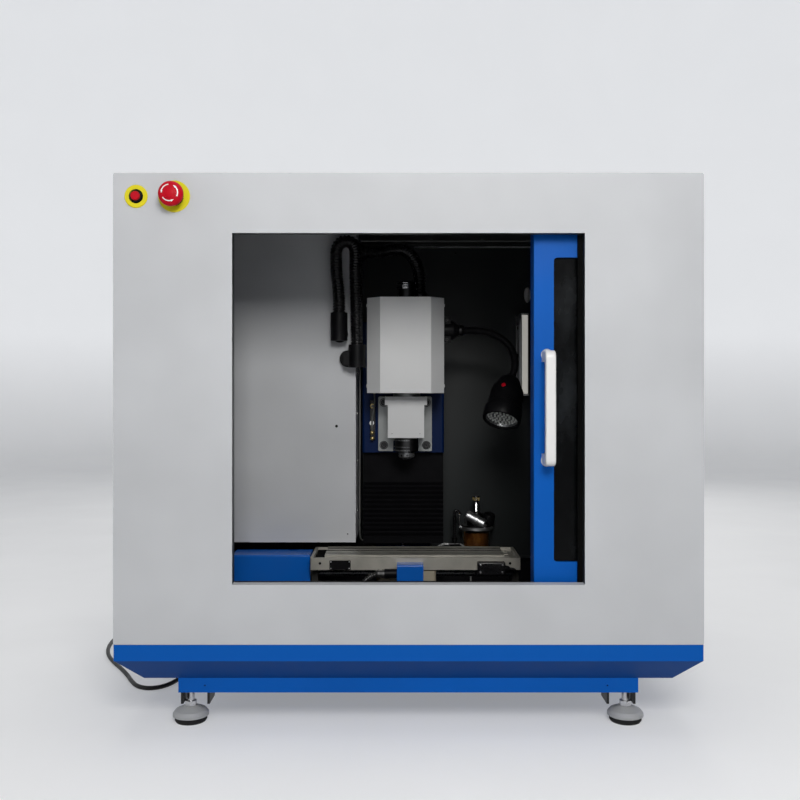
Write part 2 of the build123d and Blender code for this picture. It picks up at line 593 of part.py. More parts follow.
# Saddle: rides the bed and carries the table's way, with both screw nuts in it
NUT_BLOCK_HALF = 14.0
NUT_BLOCK_FRONT = 352.0
NUT_BLOCK_BACK = 382.0
NUT_BLOCK_LOW = Y_SCREW_Z - 16
SADDLE_PLANE = Plane.XZ.offset(-depth(SADDLE_FRONT))
SADDLE_LENGTH = SADDLE_BACK - SADDLE_FRONT
with BuildPart() as saddle:
    prism(SADDLE_PLANE, [(-SADDLE_HALF, BED_SHOULDER + 0.5), (SADDLE_HALF, BED_SHOULDER + 0.5),
                         (SADDLE_HALF, SADDLE_TOP), (-SADDLE_HALF, SADDLE_TOP)], -SADDLE_LENGTH)
    fillet(saddle.edges().filter_by(Axis.Z), 5)
    prism(SADDLE_PLANE, way_outline(WAY_BASE, WAY_TOP, BED_SHOULDER, BED_TOP, gap=WAY_GAP), -SADDLE_LENGTH,
          Mode.SUBTRACT)
    prism(SADDLE_PLANE, [(-WAY_TOP / 2 - WAY_GAP, BED_TOP - 0.01), (WAY_TOP / 2 + WAY_GAP, BED_TOP - 0.01),
                         (WAY_TOP / 2 + WAY_GAP, BED_TOP + WAY_GAP),
                         (-WAY_TOP / 2 - WAY_GAP, BED_TOP + WAY_GAP)],
          -SADDLE_LENGTH, Mode.SUBTRACT)
    block((Y_SCREW_X - NUT_BLOCK_HALF, NUT_BLOCK_FRONT, NUT_BLOCK_LOW),
          (Y_SCREW_X + NUT_BLOCK_HALF, NUT_BLOCK_BACK, BED_TOP + 1))
    prism(Plane.YZ.offset(-SADDLE_HALF),
          way_outline(CROSS_WAY_BASE, CROSS_WAY_TOP, SADDLE_TOP, CROSS_WAY_HIGH,
                                                     SLIDE_AXIS_Y), 2 * SADDLE_HALF)
    rod(NUT_RADIUS + 0.1, (Y_SCREW_X, depth(NUT_BLOCK_FRONT), Y_SCREW_Z), AIM,
        NUT_BLOCK_BACK - NUT_BLOCK_FRONT,
        Mode.SUBTRACT)
    rod(NUT_RADIUS + 0.1, (-SADDLE_HALF, SLIDE_AXIS_Y, X_SCREW_Z), (1, 0, 0), 2 * SADDLE_HALF,
        Mode.SUBTRACT)

NUT_LENGTH = 34.0
with BuildPart() as screw_nuts:
    for origin, direction in (((Y_SCREW_X, depth(NUT_BLOCK_FRONT - 4.1), Y_SCREW_Z), AIM),
                              ((-SADDLE_HALF - 4.1, SLIDE_AXIS_Y, X_SCREW_Z), (1, 0, 0))):
        bore = SCREW_RADIUS + SCREW_RUNNING
        turned([(bore, 0), (NUT_RADIUS + 3.5, 0), (NUT_RADIUS + 3.5, 4), (NUT_RADIUS, 4),
                (NUT_RADIUS, NUT_LENGTH),
                (bore, NUT_LENGTH)], origin, direction)

# Table: rimmed slab with a raised plateau, three T-slots and a bearing lug at each end
TABLE_FRONT = SADDLE_FRONT
TABLE_BACK = SADDLE_BACK
X_LINE = (SADDLE_FRONT + SADDLE_BACK) / 2
GROOVE_LEFT = TABLE_LEFT + LUG_THICK
GROOVE_RIGHT = TABLE_RIGHT - LUG_THICK
with BuildPart() as table:
    block((TABLE_LEFT, TABLE_FRONT, TABLE_LOW), (TABLE_RIGHT, TABLE_BACK, TABLE_RIM))
    fillet(table.edges().filter_by(Axis.Z), 2)
    block((TABLE_LEFT + RIM_WIDTH, TABLE_FRONT + RIM_WIDTH, TABLE_RIM - CHANNEL_DEPTH),
          (TABLE_RIGHT - RIM_WIDTH, TABLE_BACK - RIM_WIDTH, TABLE_RIM), Mode.SUBTRACT)
    block((PLATEAU_LEFT, TABLE_FRONT + RIM_WIDTH + CHANNEL, TABLE_RIM - CHANNEL_DEPTH),
          (PLATEAU_RIGHT, TABLE_BACK - RIM_WIDTH - CHANNEL, TABLE_TOP))
    for slot in (-1, 0, 1):
        line = X_LINE + slot * SLOT_PITCH
        block((PLATEAU_LEFT, line - SLOT_NECK / 2, TABLE_TOP - SLOT_NECK_DEPTH),
              (PLATEAU_RIGHT, line + SLOT_NECK / 2, TABLE_TOP), Mode.SUBTRACT)
        block((PLATEAU_LEFT - 14, line - SLOT_WIDTH / 2, TABLE_TOP - SLOT_DEPTH),
              (PLATEAU_RIGHT + 14, line + SLOT_WIDTH / 2, TABLE_TOP - SLOT_NECK_DEPTH), Mode.SUBTRACT)
    for lug_left in (TABLE_LEFT, TABLE_RIGHT - LUG_THICK):
        block((lug_left, X_LINE - 28, LUG_LOW), (lug_left + LUG_THICK, X_LINE + 28, TABLE_LOW + 1))
    prism(Plane.YZ.offset(GROOVE_LEFT), way_outline(
        CROSS_WAY_BASE, CROSS_WAY_TOP, SADDLE_TOP, CROSS_WAY_HIGH, SLIDE_AXIS_Y, WAY_GAP),
          GROOVE_RIGHT - GROOVE_LEFT, Mode.SUBTRACT)
    block((GROOVE_LEFT, X_LINE - CROSS_WAY_TOP / 2 - WAY_GAP, CROSS_WAY_HIGH - 0.01),
          (GROOVE_RIGHT, X_LINE + CROSS_WAY_TOP / 2 + WAY_GAP, CROSS_WAY_HIGH + WAY_GAP), Mode.SUBTRACT)
    rod(SCREW_RADIUS + SCREW_RUNNING, (TABLE_LEFT, SLIDE_AXIS_Y, X_SCREW_Z), (1, 0, 0),
        TABLE_RIGHT - TABLE_LEFT,
        Mode.SUBTRACT)

with BuildPart() as table_switch:
    block((135, TABLE_FRONT - 14, 202), (188, TABLE_FRONT, 226))
    fillet(table_switch.edges().filter_by(Axis.Y), 2)
    rod(5, (150, depth(TABLE_FRONT - 17), 213), (0, 1, 0), 3)

# Drive screws: each turns with the slide that it moves
COUPLING_RADIUS = 12.0
MOTOR_SHAFT = 4.0
SHAFT_INTO_MOTOR = 10.0


def drive_screw(origin: tuple, direction: tuple, length: float, coupling: float) -> None:
    """A screw shaft whose coupling and motor shaft stand out before its origin."""
    turned([(0, -coupling - 12 - SHAFT_INTO_MOTOR), (MOTOR_SHAFT, -coupling - 12 - SHAFT_INTO_MOTOR),
            (MOTOR_SHAFT, -coupling - 8), (COUPLING_RADIUS, -coupling - 8), (COUPLING_RADIUS, -9),
            (SCREW_RADIUS, -9), (SCREW_RADIUS, length), (0, length)], origin, direction)


with BuildPart() as x_screw:
    drive_screw((TABLE_LEFT, SLIDE_AXIS_Y, X_SCREW_Z), (1, 0, 0), TABLE_RIGHT - TABLE_LEFT, 46)

with BuildPart() as y_screw:
    turned([(0, -15), (MOTOR_SHAFT, -15), (MOTOR_SHAFT, 0.5), (SCREW_RADIUS, 0.5),
            (SCREW_RADIUS, Y_SCREW_LENGTH), (0, Y_SCREW_LENGTH)],
           (Y_SCREW_X, depth(BED_FRONT), Y_SCREW_Z), AIM)

with BuildPart() as z_screw:
    screw_end = COLUMN_TOP - WAY_LOW + TOP_PLATE
    turned([(0, screw_end + 12), (MOTOR_SHAFT, screw_end + 12), (MOTOR_SHAFT, screw_end - 0.2),
            (SCREW_RADIUS, screw_end - 0.2), (SCREW_RADIUS, 0.5), (0, 0.5)],
           (COLUMN_X, depth(Z_SCREW_DEPTH), WAY_LOW), (0, 0, 1))


# Motors
def motor_ribs(size: float, origin: tuple, direction: tuple, length: float, mode: Mode = Mode.ADD) -> None:
    """A square motor body with bevelled corners that runs along a direction."""
    with BuildSketch(Plane(origin=origin, z_dir=direction)) as face:
        Rectangle(size, size)
        chamfer(face.vertices(), size / 10)
    extrude(face.sketch, amount=length, mode=mode)


with BuildPart() as x_motor:
    motor_ribs(X_MOTOR_SIZE, (X_MOTOR_LEFT, SLIDE_AXIS_Y, X_SCREW_Z), (1, 0, 0),
               X_MOTOR_FACE - X_MOTOR_LEFT)
    turned([(20, 0), (BELL_RADIUS, 0), (BELL_RADIUS, TABLE_LEFT - X_MOTOR_FACE),
            (20, TABLE_LEFT - X_MOTOR_FACE)],
           (X_MOTOR_FACE, SLIDE_AXIS_Y, X_SCREW_Z), (1, 0, 0))
    rod(MOTOR_SHAFT + 0.1, (X_MOTOR_FACE - 30, SLIDE_AXIS_Y, X_SCREW_Z), (1, 0, 0), 30, Mode.SUBTRACT)

Y_MOTOR_SIZE = 42.0
Y_MOTOR_LENGTH = 58.0
Z_MOTOR_LENGTH = 36.0
with BuildPart() as axis_motors:
    motor_ribs(Y_MOTOR_SIZE, (Y_SCREW_X, depth(BED_FRONT), Y_SCREW_Z), (0, -1, 0), Y_MOTOR_LENGTH)
    rod(MOTOR_SHAFT + 0.1, (Y_SCREW_X, depth(BED_FRONT - 16), Y_SCREW_Z), AIM, 16, Mode.SUBTRACT)
    motor_ribs(Y_MOTOR_SIZE, (COLUMN_X, depth(Z_SCREW_DEPTH), COLUMN_TOP + TOP_PLATE), (0, 0, 1),
               Z_MOTOR_LENGTH)
    rod(MOTOR_SHAFT + 0.1, (COLUMN_X, depth(Z_SCREW_DEPTH), COLUMN_TOP + TOP_PLATE), (0, 0, 1), 14,
        Mode.SUBTRACT)

with BuildPart() as x_motor_cover:
    block((X_COVER_LEFT, X_LINE - X_COVER_HALF, X_COVER_LOW),
          (X_COVER_RIGHT, X_LINE + X_COVER_HALF, X_COVER_TOP))
    fillet(x_motor_cover.edges().filter_by(Axis.X).group_by(Axis.Z)[-1], 3)
    offset(amount=-SHEET, openings=x_motor_cover.faces().sort_by(Axis.Z)[0])
    rod(BELL_RADIUS + 0.3, (X_COVER_RIGHT - 3, SLIDE_AXIS_Y, X_SCREW_Z), (1, 0, 0), 4, Mode.SUBTRACT)

Y_COVER_LEFT = -19.5
Y_COVER_RIGHT = 30.5
Y_COVER_FRONT = 270.0
Y_COVER_STEP = 298.0
Y_COVER_TOP = 224.0
Y_COVER_SILL = BED_TOP - 1.5
with BuildPart() as y_motor_cover:
    prism(Plane.YZ.offset(Y_COVER_LEFT),
          [(depth(Y_COVER_FRONT), TRAY_FLOOR + TRAY_WALL), (depth(BED_FRONT - 1), TRAY_FLOOR + TRAY_WALL),
           (depth(BED_FRONT - 1), Y_COVER_SILL), (depth(Y_COVER_STEP), Y_COVER_SILL),
           (depth(Y_COVER_STEP), Y_COVER_TOP),
           (depth(Y_COVER_FRONT), Y_COVER_TOP)], Y_COVER_RIGHT - Y_COVER_LEFT)
    fillet(y_motor_cover.edges().filter_by(Axis.X).group_by(Axis.Z)[-1].sort_by(Axis.Y)[0], 3)
    cover_faces = y_motor_cover.faces()
    offset(amount=-SHEET, openings=[cover_faces.sort_by(Axis.Y)[-1], cover_faces.sort_by(Axis.Z)[0]])

# Head: the carriage on the column
SLIDE_BACK = COLUMN_FRONT - 0.5
with BuildPart() as head_slide:
    block((COLUMN_X - SLIDE_HALF, SLIDE_FRONT, SLIDE_LOW), (COLUMN_X + SLIDE_HALF, SLIDE_BACK, SLIDE_TOP))
    fillet(head_slide.edges().filter_by(Axis.Z).group_by(Axis.Y)[0], 5)
    prism(Plane.XY.offset(SLIDE_LOW), way_outline(
        WAY_BASE, WAY_TOP, depth(COLUMN_FRONT), depth(COLUMN_FRONT - COLUMN_WAY), COLUMN_X, WAY_GAP),
          SLIDE_TOP - SLIDE_LOW, Mode.SUBTRACT)
    block((COLUMN_X - WAY_TOP / 2 - WAY_GAP, COLUMN_FRONT - COLUMN_WAY - WAY_GAP, SLIDE_LOW),
          (COLUMN_X + WAY_TOP / 2 + WAY_GAP, COLUMN_FRONT - COLUMN_WAY + 0.01, SLIDE_TOP), Mode.SUBTRACT)
    rod(SCREW_RADIUS + SCREW_RUNNING, (COLUMN_X, depth(Z_SCREW_DEPTH), SLIDE_LOW), (0, 0, 1),
        SLIDE_TOP - SLIDE_LOW,
        Mode.SUBTRACT)

# Spindle housing: flange plate, web and bored cylinder
BEARING = 0.1
HOUSING_LOW = NOSE_HIGH + 1
HOUSING_TOP = 560.0
BOLTS = [(FLANGE_X + sx * BOLT_SPACING / 2, (FLANGE_LOW + FLANGE_HIGH) / 2 + sz * BOLT_SPACING / 2)
         for sx in (-1, 1) for sz in (-1, 1)]
FLANGE_PLANE = Plane.XZ.offset(-depth(SLIDE_FRONT))
with BuildPart() as spindle_housing:
    with BuildSketch(FLANGE_PLANE):
        with Locations((FLANGE_X, (FLANGE_LOW + FLANGE_HIGH) / 2)):
            RectangleRounded(2 * FLANGE_HALF, FLANGE_HIGH - FLANGE_LOW, 3)
        with Locations((FLANGE_X, FLANGE_LOW)):
            Rectangle(50, 44, mode=Mode.SUBTRACT)
    extrude(amount=FLANGE_THICK)
    block((-26, SPINDLE_DEPTH, HOUSING_LOW + 4), (26, SLIDE_FRONT - FLANGE_THICK + 1, HOUSING_TOP - 14))
    rod(HOUSING_RADIUS, (SPINDLE_X, SPINDLE_Y, HOUSING_LOW), (0, 0, 1), HOUSING_TOP - HOUSING_LOW)
    rod(SHAFT_RADIUS + BEARING, (SPINDLE_X, SPINDLE_Y, HOUSING_LOW), (0, 0, 1), HOUSING_TOP - HOUSING_LOW,
        Mode.SUBTRACT)
    for bolt_x, bolt_z in BOLTS:
        with Locations(Plane(origin=(bolt_x, depth(SLIDE_FRONT - FLANGE_THICK), bolt_z), z_dir=(0, -1, 0))):
            CounterBoreHole(4.2, BOLT_COUNTERBORE, 8, FLANGE_THICK)

with BuildPart() as flange_bolts:
    for bolt_x, bolt_z in BOLTS:
        bolt_plane = Plane(origin=(bolt_x, depth(SLIDE_FRONT - FLANGE_THICK + 8), bolt_z), z_dir=(0, -1, 0))
        with BuildSketch(bolt_plane) as bolt_head:
            Circle(BOLT_HEAD_RADIUS)
            RegularPolygon(3.0, 6, mode=Mode.SUBTRACT)
        extrude(bolt_head.sketch, amount=7)
        rod(4.0, (bolt_x, depth(SLIDE_FRONT - FLANGE_THICK + 8), bolt_z), (0, 1, 0), 6)
        rod(BOLT_HEAD_RADIUS, (bolt_x, depth(SLIDE_FRONT - FLANGE_THICK + 8 - 2.5), bolt_z), (0, 1, 0), 2.5)

# Spindle cover: the light T-shaped cap in front of the housing
COVER_LOW = 457.0
COVER_HIGH = 541.0
COVER_WING = 17.0
COVER_HALF = 37.0
WING_HALF = 43.0
with BuildPart() as spindle_cover:
    prism(Plane.XZ.offset(-depth(BOX_FRONT)),
          [(-COVER_HALF - 1.5, COVER_LOW), (COVER_HALF - 1.5, COVER_LOW),
           (COVER_HALF - 1.5, COVER_HIGH - COVER_WING),
           (WING_HALF - 1.5, COVER_HIGH - COVER_WING), (WING_HALF - 1.5, COVER_HIGH),
           (-WING_HALF - 1.5, COVER_HIGH),
           (-WING_HALF - 1.5, COVER_HIGH - COVER_WING), (-COVER_HALF - 1.5, COVER_HIGH - COVER_WING)],
          BOX_FRONT - SLIDE_FRONT + FLANGE_THICK + 0.1)
    shell_faces = spindle_cover.faces()
    offset(amount=-SHEET, openings=[shell_faces.sort_by(Axis.Y)[-1], shell_faces.sort_by(Axis.Z)[0],
                                    shell_faces.sort_by(Axis.Z)[-1]])

# Head cover: folded sheet with bevelled front corners, open at the back and below
with BuildPart() as head_cover:
    prism(Plane.XY.offset(HEAD_LOW),
          [(HEAD_X - HEAD_FACE_HALF, depth(HEAD_FRONT)), (HEAD_X + HEAD_FACE_HALF, depth(HEAD_FRONT)),
           (HEAD_X + HEAD_HALF, depth(HEAD_FRONT + HEAD_CHAMFER)), (HEAD_X + HEAD_HALF, depth(SLIDE_FRONT)),
           (HEAD_X - HEAD_HALF, depth(SLIDE_FRONT)),
           (HEAD_X - HEAD_HALF, depth(HEAD_FRONT + HEAD_CHAMFER))],
          HEAD_TOP - HEAD_LOW)
    hood_faces = head_cover.faces()
    offset(amount=-SHEET, openings=[hood_faces.sort_by(Axis.Y)[-1], hood_faces.sort_by(Axis.Z)[0]])
    rod(DRAWBAR_RADIUS + 1.5, (SPINDLE_X, SPINDLE_Y, HEAD_TOP - 5), (0, 0, 1), 10, Mode.SUBTRACT)

# Spindle motor, shaft and collet
MOTOR_LOW = 600.0
MOTOR_TOP = 724.0
with BuildPart() as spindle_motor:
    turned([(SHAFT_RADIUS + BEARING, MOTOR_LOW), (MOTOR_RADIUS, MOTOR_LOW), (MOTOR_RADIUS, MOTOR_TOP - 10),
            (MOTOR_RADIUS - 8, MOTOR_TOP), (SHAFT_RADIUS + BEARING, MOTOR_TOP)], (SPINDLE_X, SPINDLE_Y, 0),
            (0, 0, 1))
    block((-42, SPINDLE_DEPTH - 42, HOUSING_TOP + 30), (42, SLIDE_FRONT, MOTOR_LOW))
    rod(SHAFT_RADIUS + BEARING, (SPINDLE_X, SPINDLE_Y, HOUSING_TOP), (0, 0, 1), 60, Mode.SUBTRACT)

with BuildPart() as spindle_shaft:
    turned([(0, NOSE_LOW + 1), (NOSE_RADIUS - 2, NOSE_LOW + 1), (NOSE_RADIUS, NOSE_LOW + 3),
            (NOSE_RADIUS, NOSE_HIGH),
            (SHAFT_RADIUS, NOSE_HIGH), (SHAFT_RADIUS, HEAD_TOP - 12), (DRAWBAR_RADIUS, HEAD_TOP - 12),
            (DRAWBAR_RADIUS, DRAWBAR_TOP - 2), (DRAWBAR_RADIUS - 2, DRAWBAR_TOP), (0, DRAWBAR_TOP)],
           (SPINDLE_X, SPINDLE_Y, 0), (0, 0, 1))
    rod(SHANK_RADIUS + 0.2, (SPINDLE_X, SPINDLE_Y, NOSE_LOW), (0, 0, 1), 40, Mode.SUBTRACT)

with BuildPart() as collet_nut:
    turned([(SHANK_RADIUS, COLLET_LOW), (8, COLLET_LOW), (COLLET_RADIUS - 2, COLLET_LOW + 3),
            (COLLET_RADIUS, COLLET_LOW + 5), (COLLET_RADIUS, NOSE_LOW + 1), (SHANK_RADIUS, NOSE_LOW + 1)],
           (SPINDLE_X, SPINDLE_Y, 0), (0, 0, 1))

# Way cover: pleated bellows between the bed and the head
PLEAT_DEPTH = 3.6
BELLOWS_TOP = SLIDE_LOW - 0.4
with BuildPart() as way_cover:
    front_profile = [(depth(WAY_COVER_FRONT), WAY_COVER_LOW), (depth(WAY_COVER_FRONT), PLEAT_LOW)]
    for pleat in range(PLEAT_COUNT):
        fold = PLEAT_LOW + pleat * PLEAT_PITCH
        front_profile += [(depth(WAY_COVER_FRONT + PLEAT_DEPTH), fold + 2.2),
                          (depth(WAY_COVER_FRONT), fold + PLEAT_PITCH - 1.2),
                          (depth(WAY_COVER_FRONT), fold + PLEAT_PITCH)]
    front_profile += [(depth(WAY_COVER_FRONT), BELLOWS_TOP), (depth(WAY_COVER_FRONT + 7), BELLOWS_TOP),
                      (depth(WAY_COVER_FRONT + 7), WAY_COVER_LOW)]
    prism(Plane.YZ.offset(COLUMN_X - WAY_COVER_HALF), front_profile, 2 * WAY_COVER_HALF)
    for side in (-1, 1):
        inner, outer = COLUMN_X + side * (WAY_COVER_HALF - 3), COLUMN_X + side * WAY_COVER_HALF
        block((min(inner, outer), WAY_COVER_FRONT + 5, WAY_COVER_LOW),
              (max(inner, outer), WAY_COVER_BACK, BELLOWS_TOP))
    block((COLUMN_X - WAY_COVER_HALF, WAY_COVER_FRONT + 5, WAY_COVER_LOW),
          (COLUMN_X - WAY_TOP / 2 - 2, COLUMN_FRONT - 0.3, WAY_COVER_LOW + 3))
    block((COLUMN_X + WAY_TOP / 2 + 2, WAY_COVER_FRONT + 5, WAY_COVER_LOW),
          (COLUMN_X + WAY_COVER_HALF, COLUMN_FRONT - 0.3, WAY_COVER_LOW + 3))

# Work lamp: arm with its mount on the head cover, a swivelling head and its lens
ARM_RADIUS = 6.5
LAMP_MOUNT_X = HEAD_X + HEAD_HALF
LAMP_MOUNT_HALF = 14.0
LAMP_MOUNT_GAP = 30.0
LAMP_MOUNT_DEPTH = SLIDE_FRONT - LAMP_MOUNT_GAP - LAMP_MOUNT_HALF
LAMP_MOUNT_Z = 678.0
ARM_STEPS = [(35, 0, 0), (65, 0, 0), (95, -2, -3), (122, -4, -16), (142, -6, -35), (150, -8, -61),
             (148, -9, -86), (138, -9, -108)]
ARM_POINTS = [(LAMP_MOUNT_X + right, LAMP_MOUNT_DEPTH + back, LAMP_MOUNT_Z + up)
              for right, back, up in ARM_STEPS]
LAMP_AIM = Vector(-0.16, -0.62, -0.77).normalized()
LAMP_END = ARM_POINTS[-1]
LAMP_PIVOT = Vector(LAMP_END[0], depth(LAMP_END[1]), LAMP_END[2])
LAMP_BALL = 9.5
with BuildPart() as lamp_arm:
    turned([(0, 0), (19, 0), (19, 22), (14, 28), (9, 36), (0, 36)],
           (LAMP_MOUNT_X, depth(LAMP_MOUNT_DEPTH), LAMP_MOUNT_Z), (1, 0, 0))
    block((LAMP_MOUNT_X, LAMP_MOUNT_DEPTH - LAMP_MOUNT_HALF, LAMP_MOUNT_Z - 26),
          (LAMP_MOUNT_X + 16, LAMP_MOUNT_DEPTH + LAMP_MOUNT_HALF, LAMP_MOUNT_Z + 26))
    hose(ARM_POINTS, ARM_RADIUS, "lamp_arm")
    with Locations(LAMP_PIVOT):
        Sphere(LAMP_BALL)

LAMP_BACK = LAMP_PIVOT + LAMP_AIM * 3
with BuildPart() as lamp_head:
    turned([(0, 0), (14, 0), (26, 6), (33, 16), (34, 46), (38, 52), (38, 66), (33, 66), (33, 60), (0, 60)],
           tuple(LAMP_BACK), tuple(LAMP_AIM))
    with Locations(LAMP_PIVOT):
        Sphere(LAMP_BALL + BUTTON_RUNNING, mode=Mode.SUBTRACT)

with BuildPart() as lamp_lens:
    turned([(0, 60.1), (32.8, 60.1), (32.8, 63), (0, 64.5)], tuple(LAMP_BACK), tuple(LAMP_AIM))

# Light bar on the rear wall
REAR_INNER = CABINET_DEPTH - SHEET
BAR_LEFT = 266.0
BAR_WIDTH = 16.0
BAR_DEPTH = 98.5
BAR_LOW = 540.0
BAR_HIGH = 728.0
with BuildPart() as light_bar:
    block((BAR_LEFT, REAR_INNER - BAR_DEPTH, BAR_LOW), (BAR_LEFT + BAR_WIDTH, REAR_INNER, BAR_HIGH))
    fillet(light_bar.edges().filter_by(Axis.Z).group_by(Axis.Y)[0], 2)

# Hand oiler on the rear wall: bracket with pump, clear cup and pull knob
OILER_X = 165.0
OILER_DEPTH = CABINET_DEPTH - 60.0
OILER_Y = depth(OILER_DEPTH)
CUP_LOW = 150.0
CUP_TOP = 229.0
with BuildPart() as oiler_pump:
    rod(36, (OILER_X, OILER_Y, CUP_TOP + 0.1), (0, 0, 1), 7)
    turned([(0, 7), (22, 7), (20, 24), (13, 34), (0, 34)], (OILER_X, OILER_Y, CUP_TOP), (0, 0, 1))
    block((OILER_X - 24, OILER_DEPTH, CUP_TOP + 0.1), (OILER_X + 24, REAR_INNER, CUP_TOP + 8))
    block((OILER_X - 24, REAR_INNER - 6, CUP_TOP - 60), (OILER_X + 24, REAR_INNER, CUP_TOP + 8))
    rod(5.2, (OILER_X, OILER_Y, CUP_TOP + 4), (0, 0, 1), 40, Mode.SUBTRACT)

with BuildPart() as oiler_cup:
    turned([(0, CUP_LOW), (30, CUP_LOW), (32.5, CUP_LOW + 4), (32.5, CUP_TOP), (30.5, CUP_TOP),
            (30.5, CUP_LOW + 6),
            (28.5, CUP_LOW + 3), (0, CUP_LOW + 3)], (OILER_X, OILER_Y, 0), (0, 0, 1))

PLUNGER_FOOT = CUP_TOP + 6
with BuildPart() as oiler_plunger:
    turned([(0, PLUNGER_FOOT), (5, PLUNGER_FOOT), (5, 290), (7.5, 290), (8.5, 293), (8.5, 301), (7, 304),
            (0, 304)],
           (OILER_X, OILER_Y, 0), (0, 0, 1))

# Hoses with their glands, and the machine's mains lead
ELBOW_X = -136.0
ELBOW_Z = 668.0
CORNER_X = -97.0
CORNER_Z = 618.0
HOSE_DEPTH = 374.0
HOSE_WALL_Z = 847.0
HOSE_WALL_DEPTH = 500.0
MAINS_X = -300.0
MAINS_Z = 190.0
with BuildPart() as cable_glands:
    for gland_x, gland_z in ((ELBOW_X, ELBOW_Z), (CORNER_X - 22, CORNER_Z)):
        rod(17, (gland_x, depth(BOX_FRONT), gland_z), (0, -1, 0), 12)
    rod(17, (ELBOW_X, depth(HOSE_DEPTH), ELBOW_Z - 14), (0, 0, 1), 56)
    block((ELBOW_X - 14, HOSE_DEPTH - 6, ELBOW_Z - 14), (ELBOW_X + 14, BOX_FRONT - 6, ELBOW_Z + 14))
    rod(17, (CORNER_X - 3, depth(HOSE_DEPTH), CORNER_Z - 18), (0, 0, 1), 46)
    block((CORNER_X - 31, HOSE_DEPTH - 8, CORNER_Z - 14), (CORNER_X - 3, BOX_FRONT - 6, CORNER_Z + 14))
    rod(17, (BOX_RIGHT, depth(HOSE_WALL_DEPTH), HOSE_WALL_Z), (1, 0, 0), 16)
    rod(9, (Y_COVER_LEFT, depth(284), 205), (-1, 0, 0), 24)
    rod(8, (-198, depth(625), BOX_FLOOR), (0, 0, -1), 18)
    turned([(LEAD_RADIUS + 0.02, -8), (13, -8), (13, -SHEET), (9, -SHEET), (9, 0), (13, 0), (13, 8),
            (9, GLAND_REACH - 4),
            (LEAD_RADIUS + 1.5, GLAND_REACH), (LEAD_RADIUS + 0.02, GLAND_REACH)],
           (MAINS_X, depth(CABINET_DEPTH), MAINS_Z), AIM)

LOOP_POINTS = [(ELBOW_X, HOSE_DEPTH, ELBOW_Z + 42), (ELBOW_X, HOSE_DEPTH, 748), (-142, 373, 792),
               (-142, 372, 853), (-102, 371, 853), (-104, 371, 796), (-102, 373, 744),
               (CORNER_X - 3, HOSE_DEPTH, 692), (CORNER_X - 3, HOSE_DEPTH, CORNER_Z + 28)]
Y_LEAD_POINTS = [(Y_COVER_LEFT - 24, 284, 205), (-62, 284, 205), (-85, 284, 189), (-104, 287, 163),
                 (-120, 294, 136),
                 (-136, 308, 112), (-152, 332, 97), (-166, 364, 92), (-176, 404, 92.5), (-184, 446, 92),
                 (-190, 488, 92.5), (-194, 528, 95), (-197, 564, 105), (-198.5, 594, 126),
                 (-198.5, 616, 156),
                 (-198, 625, 190), (-198, 625, BOX_FLOOR - 18)]
CONDUIT_RADIUS = 5.0
with BuildPart() as fixed_hoses:
    hose(LOOP_POINTS, HOSE_RADIUS, "hose_loop")

with BuildPart() as axis_conduit:
    hose(Y_LEAD_POINTS, CONDUIT_RADIUS, "axis_conduit")

HEAD_HOSE_X = 28.0
HEAD_HOSE_DEPTH = 462.0
HEAD_HOSE_POINTS = [(BOX_RIGHT + 16, HOSE_WALL_DEPTH, HOSE_WALL_Z), (-60, HOSE_WALL_DEPTH, HOSE_WALL_Z),
                    (-28, 494, HOSE_WALL_Z + 7),
                    (0, 482, HOSE_WALL_Z + 3), (19, 471, HOSE_WALL_Z - 20), (27, 464, HOSE_WALL_Z - 50),
                    (HEAD_HOSE_X, HEAD_HOSE_DEPTH, HOSE_WALL_Z - 78),
                    (HEAD_HOSE_X, HEAD_HOSE_DEPTH, HEAD_TOP)]
with BuildPart() as head_hose:
    hose(HEAD_HOSE_POINTS, HOSE_RADIUS, "head_hose")

LEAD_POINTS = [(MAINS_X, CABINET_DEPTH + GLAND_REACH, MAINS_Z),
               (MAINS_X - 1, CABINET_DEPTH + 50, MAINS_Z - 3), (-308, 822, 170), (-319, 836, 140),
               (-331, 842, 102), (-344, 840, 62), (-360, 830, 28), (-378, 812, 8), (-396, 784, 4.2),
               (-412, 744, 4.2),
               (-424, 696, 4.2), (-431, 642, 4.2), (-434, 586, 4.2), (-433, 530, 4.2), (-429, 474, 4.2),
               (-426, 418, 4.2), (-427, 362, 4.2), (-431, 312, 4.2), (-438, 272, 4.2), (-452, 240, 4.2),
               (-477, 226, 4.2), (-503, 238, 4.2), (-522, 268, 4.2), (-541, 306, 4.2), (-566, 348, 4.2),
               (-594, 390, 4.2), (-619, 436, 4.2), (-636, 488, 4.2), (-643, 544, 4.2), (-641, 600, 4.2),
               (-632, 654, 4.2), (-618, 704, 4.2), (-601, 748, 4.2), (-583, 780, 4.2),
               (COIL_X - COIL_RADIUS, 802, 4.2),
               (COIL_X - COIL_RADIUS, COIL_DEPTH - COIL_STUB, 4.2)]
TAIL_POINTS = [(COIL_X + COIL_STUB, COIL_DEPTH + COIL_RADIUS, LEAD_HIGH), (-470, 895, 18), (-446, 894, 7),
               (-424, 891, 4.2), (-404, 886, 4.2)]
with BuildPart() as mains_lead:
    hose(LEAD_POINTS, LEAD_RADIUS, "mains_lead")
    hose(TAIL_POINTS, LEAD_RADIUS, "mains_tail")

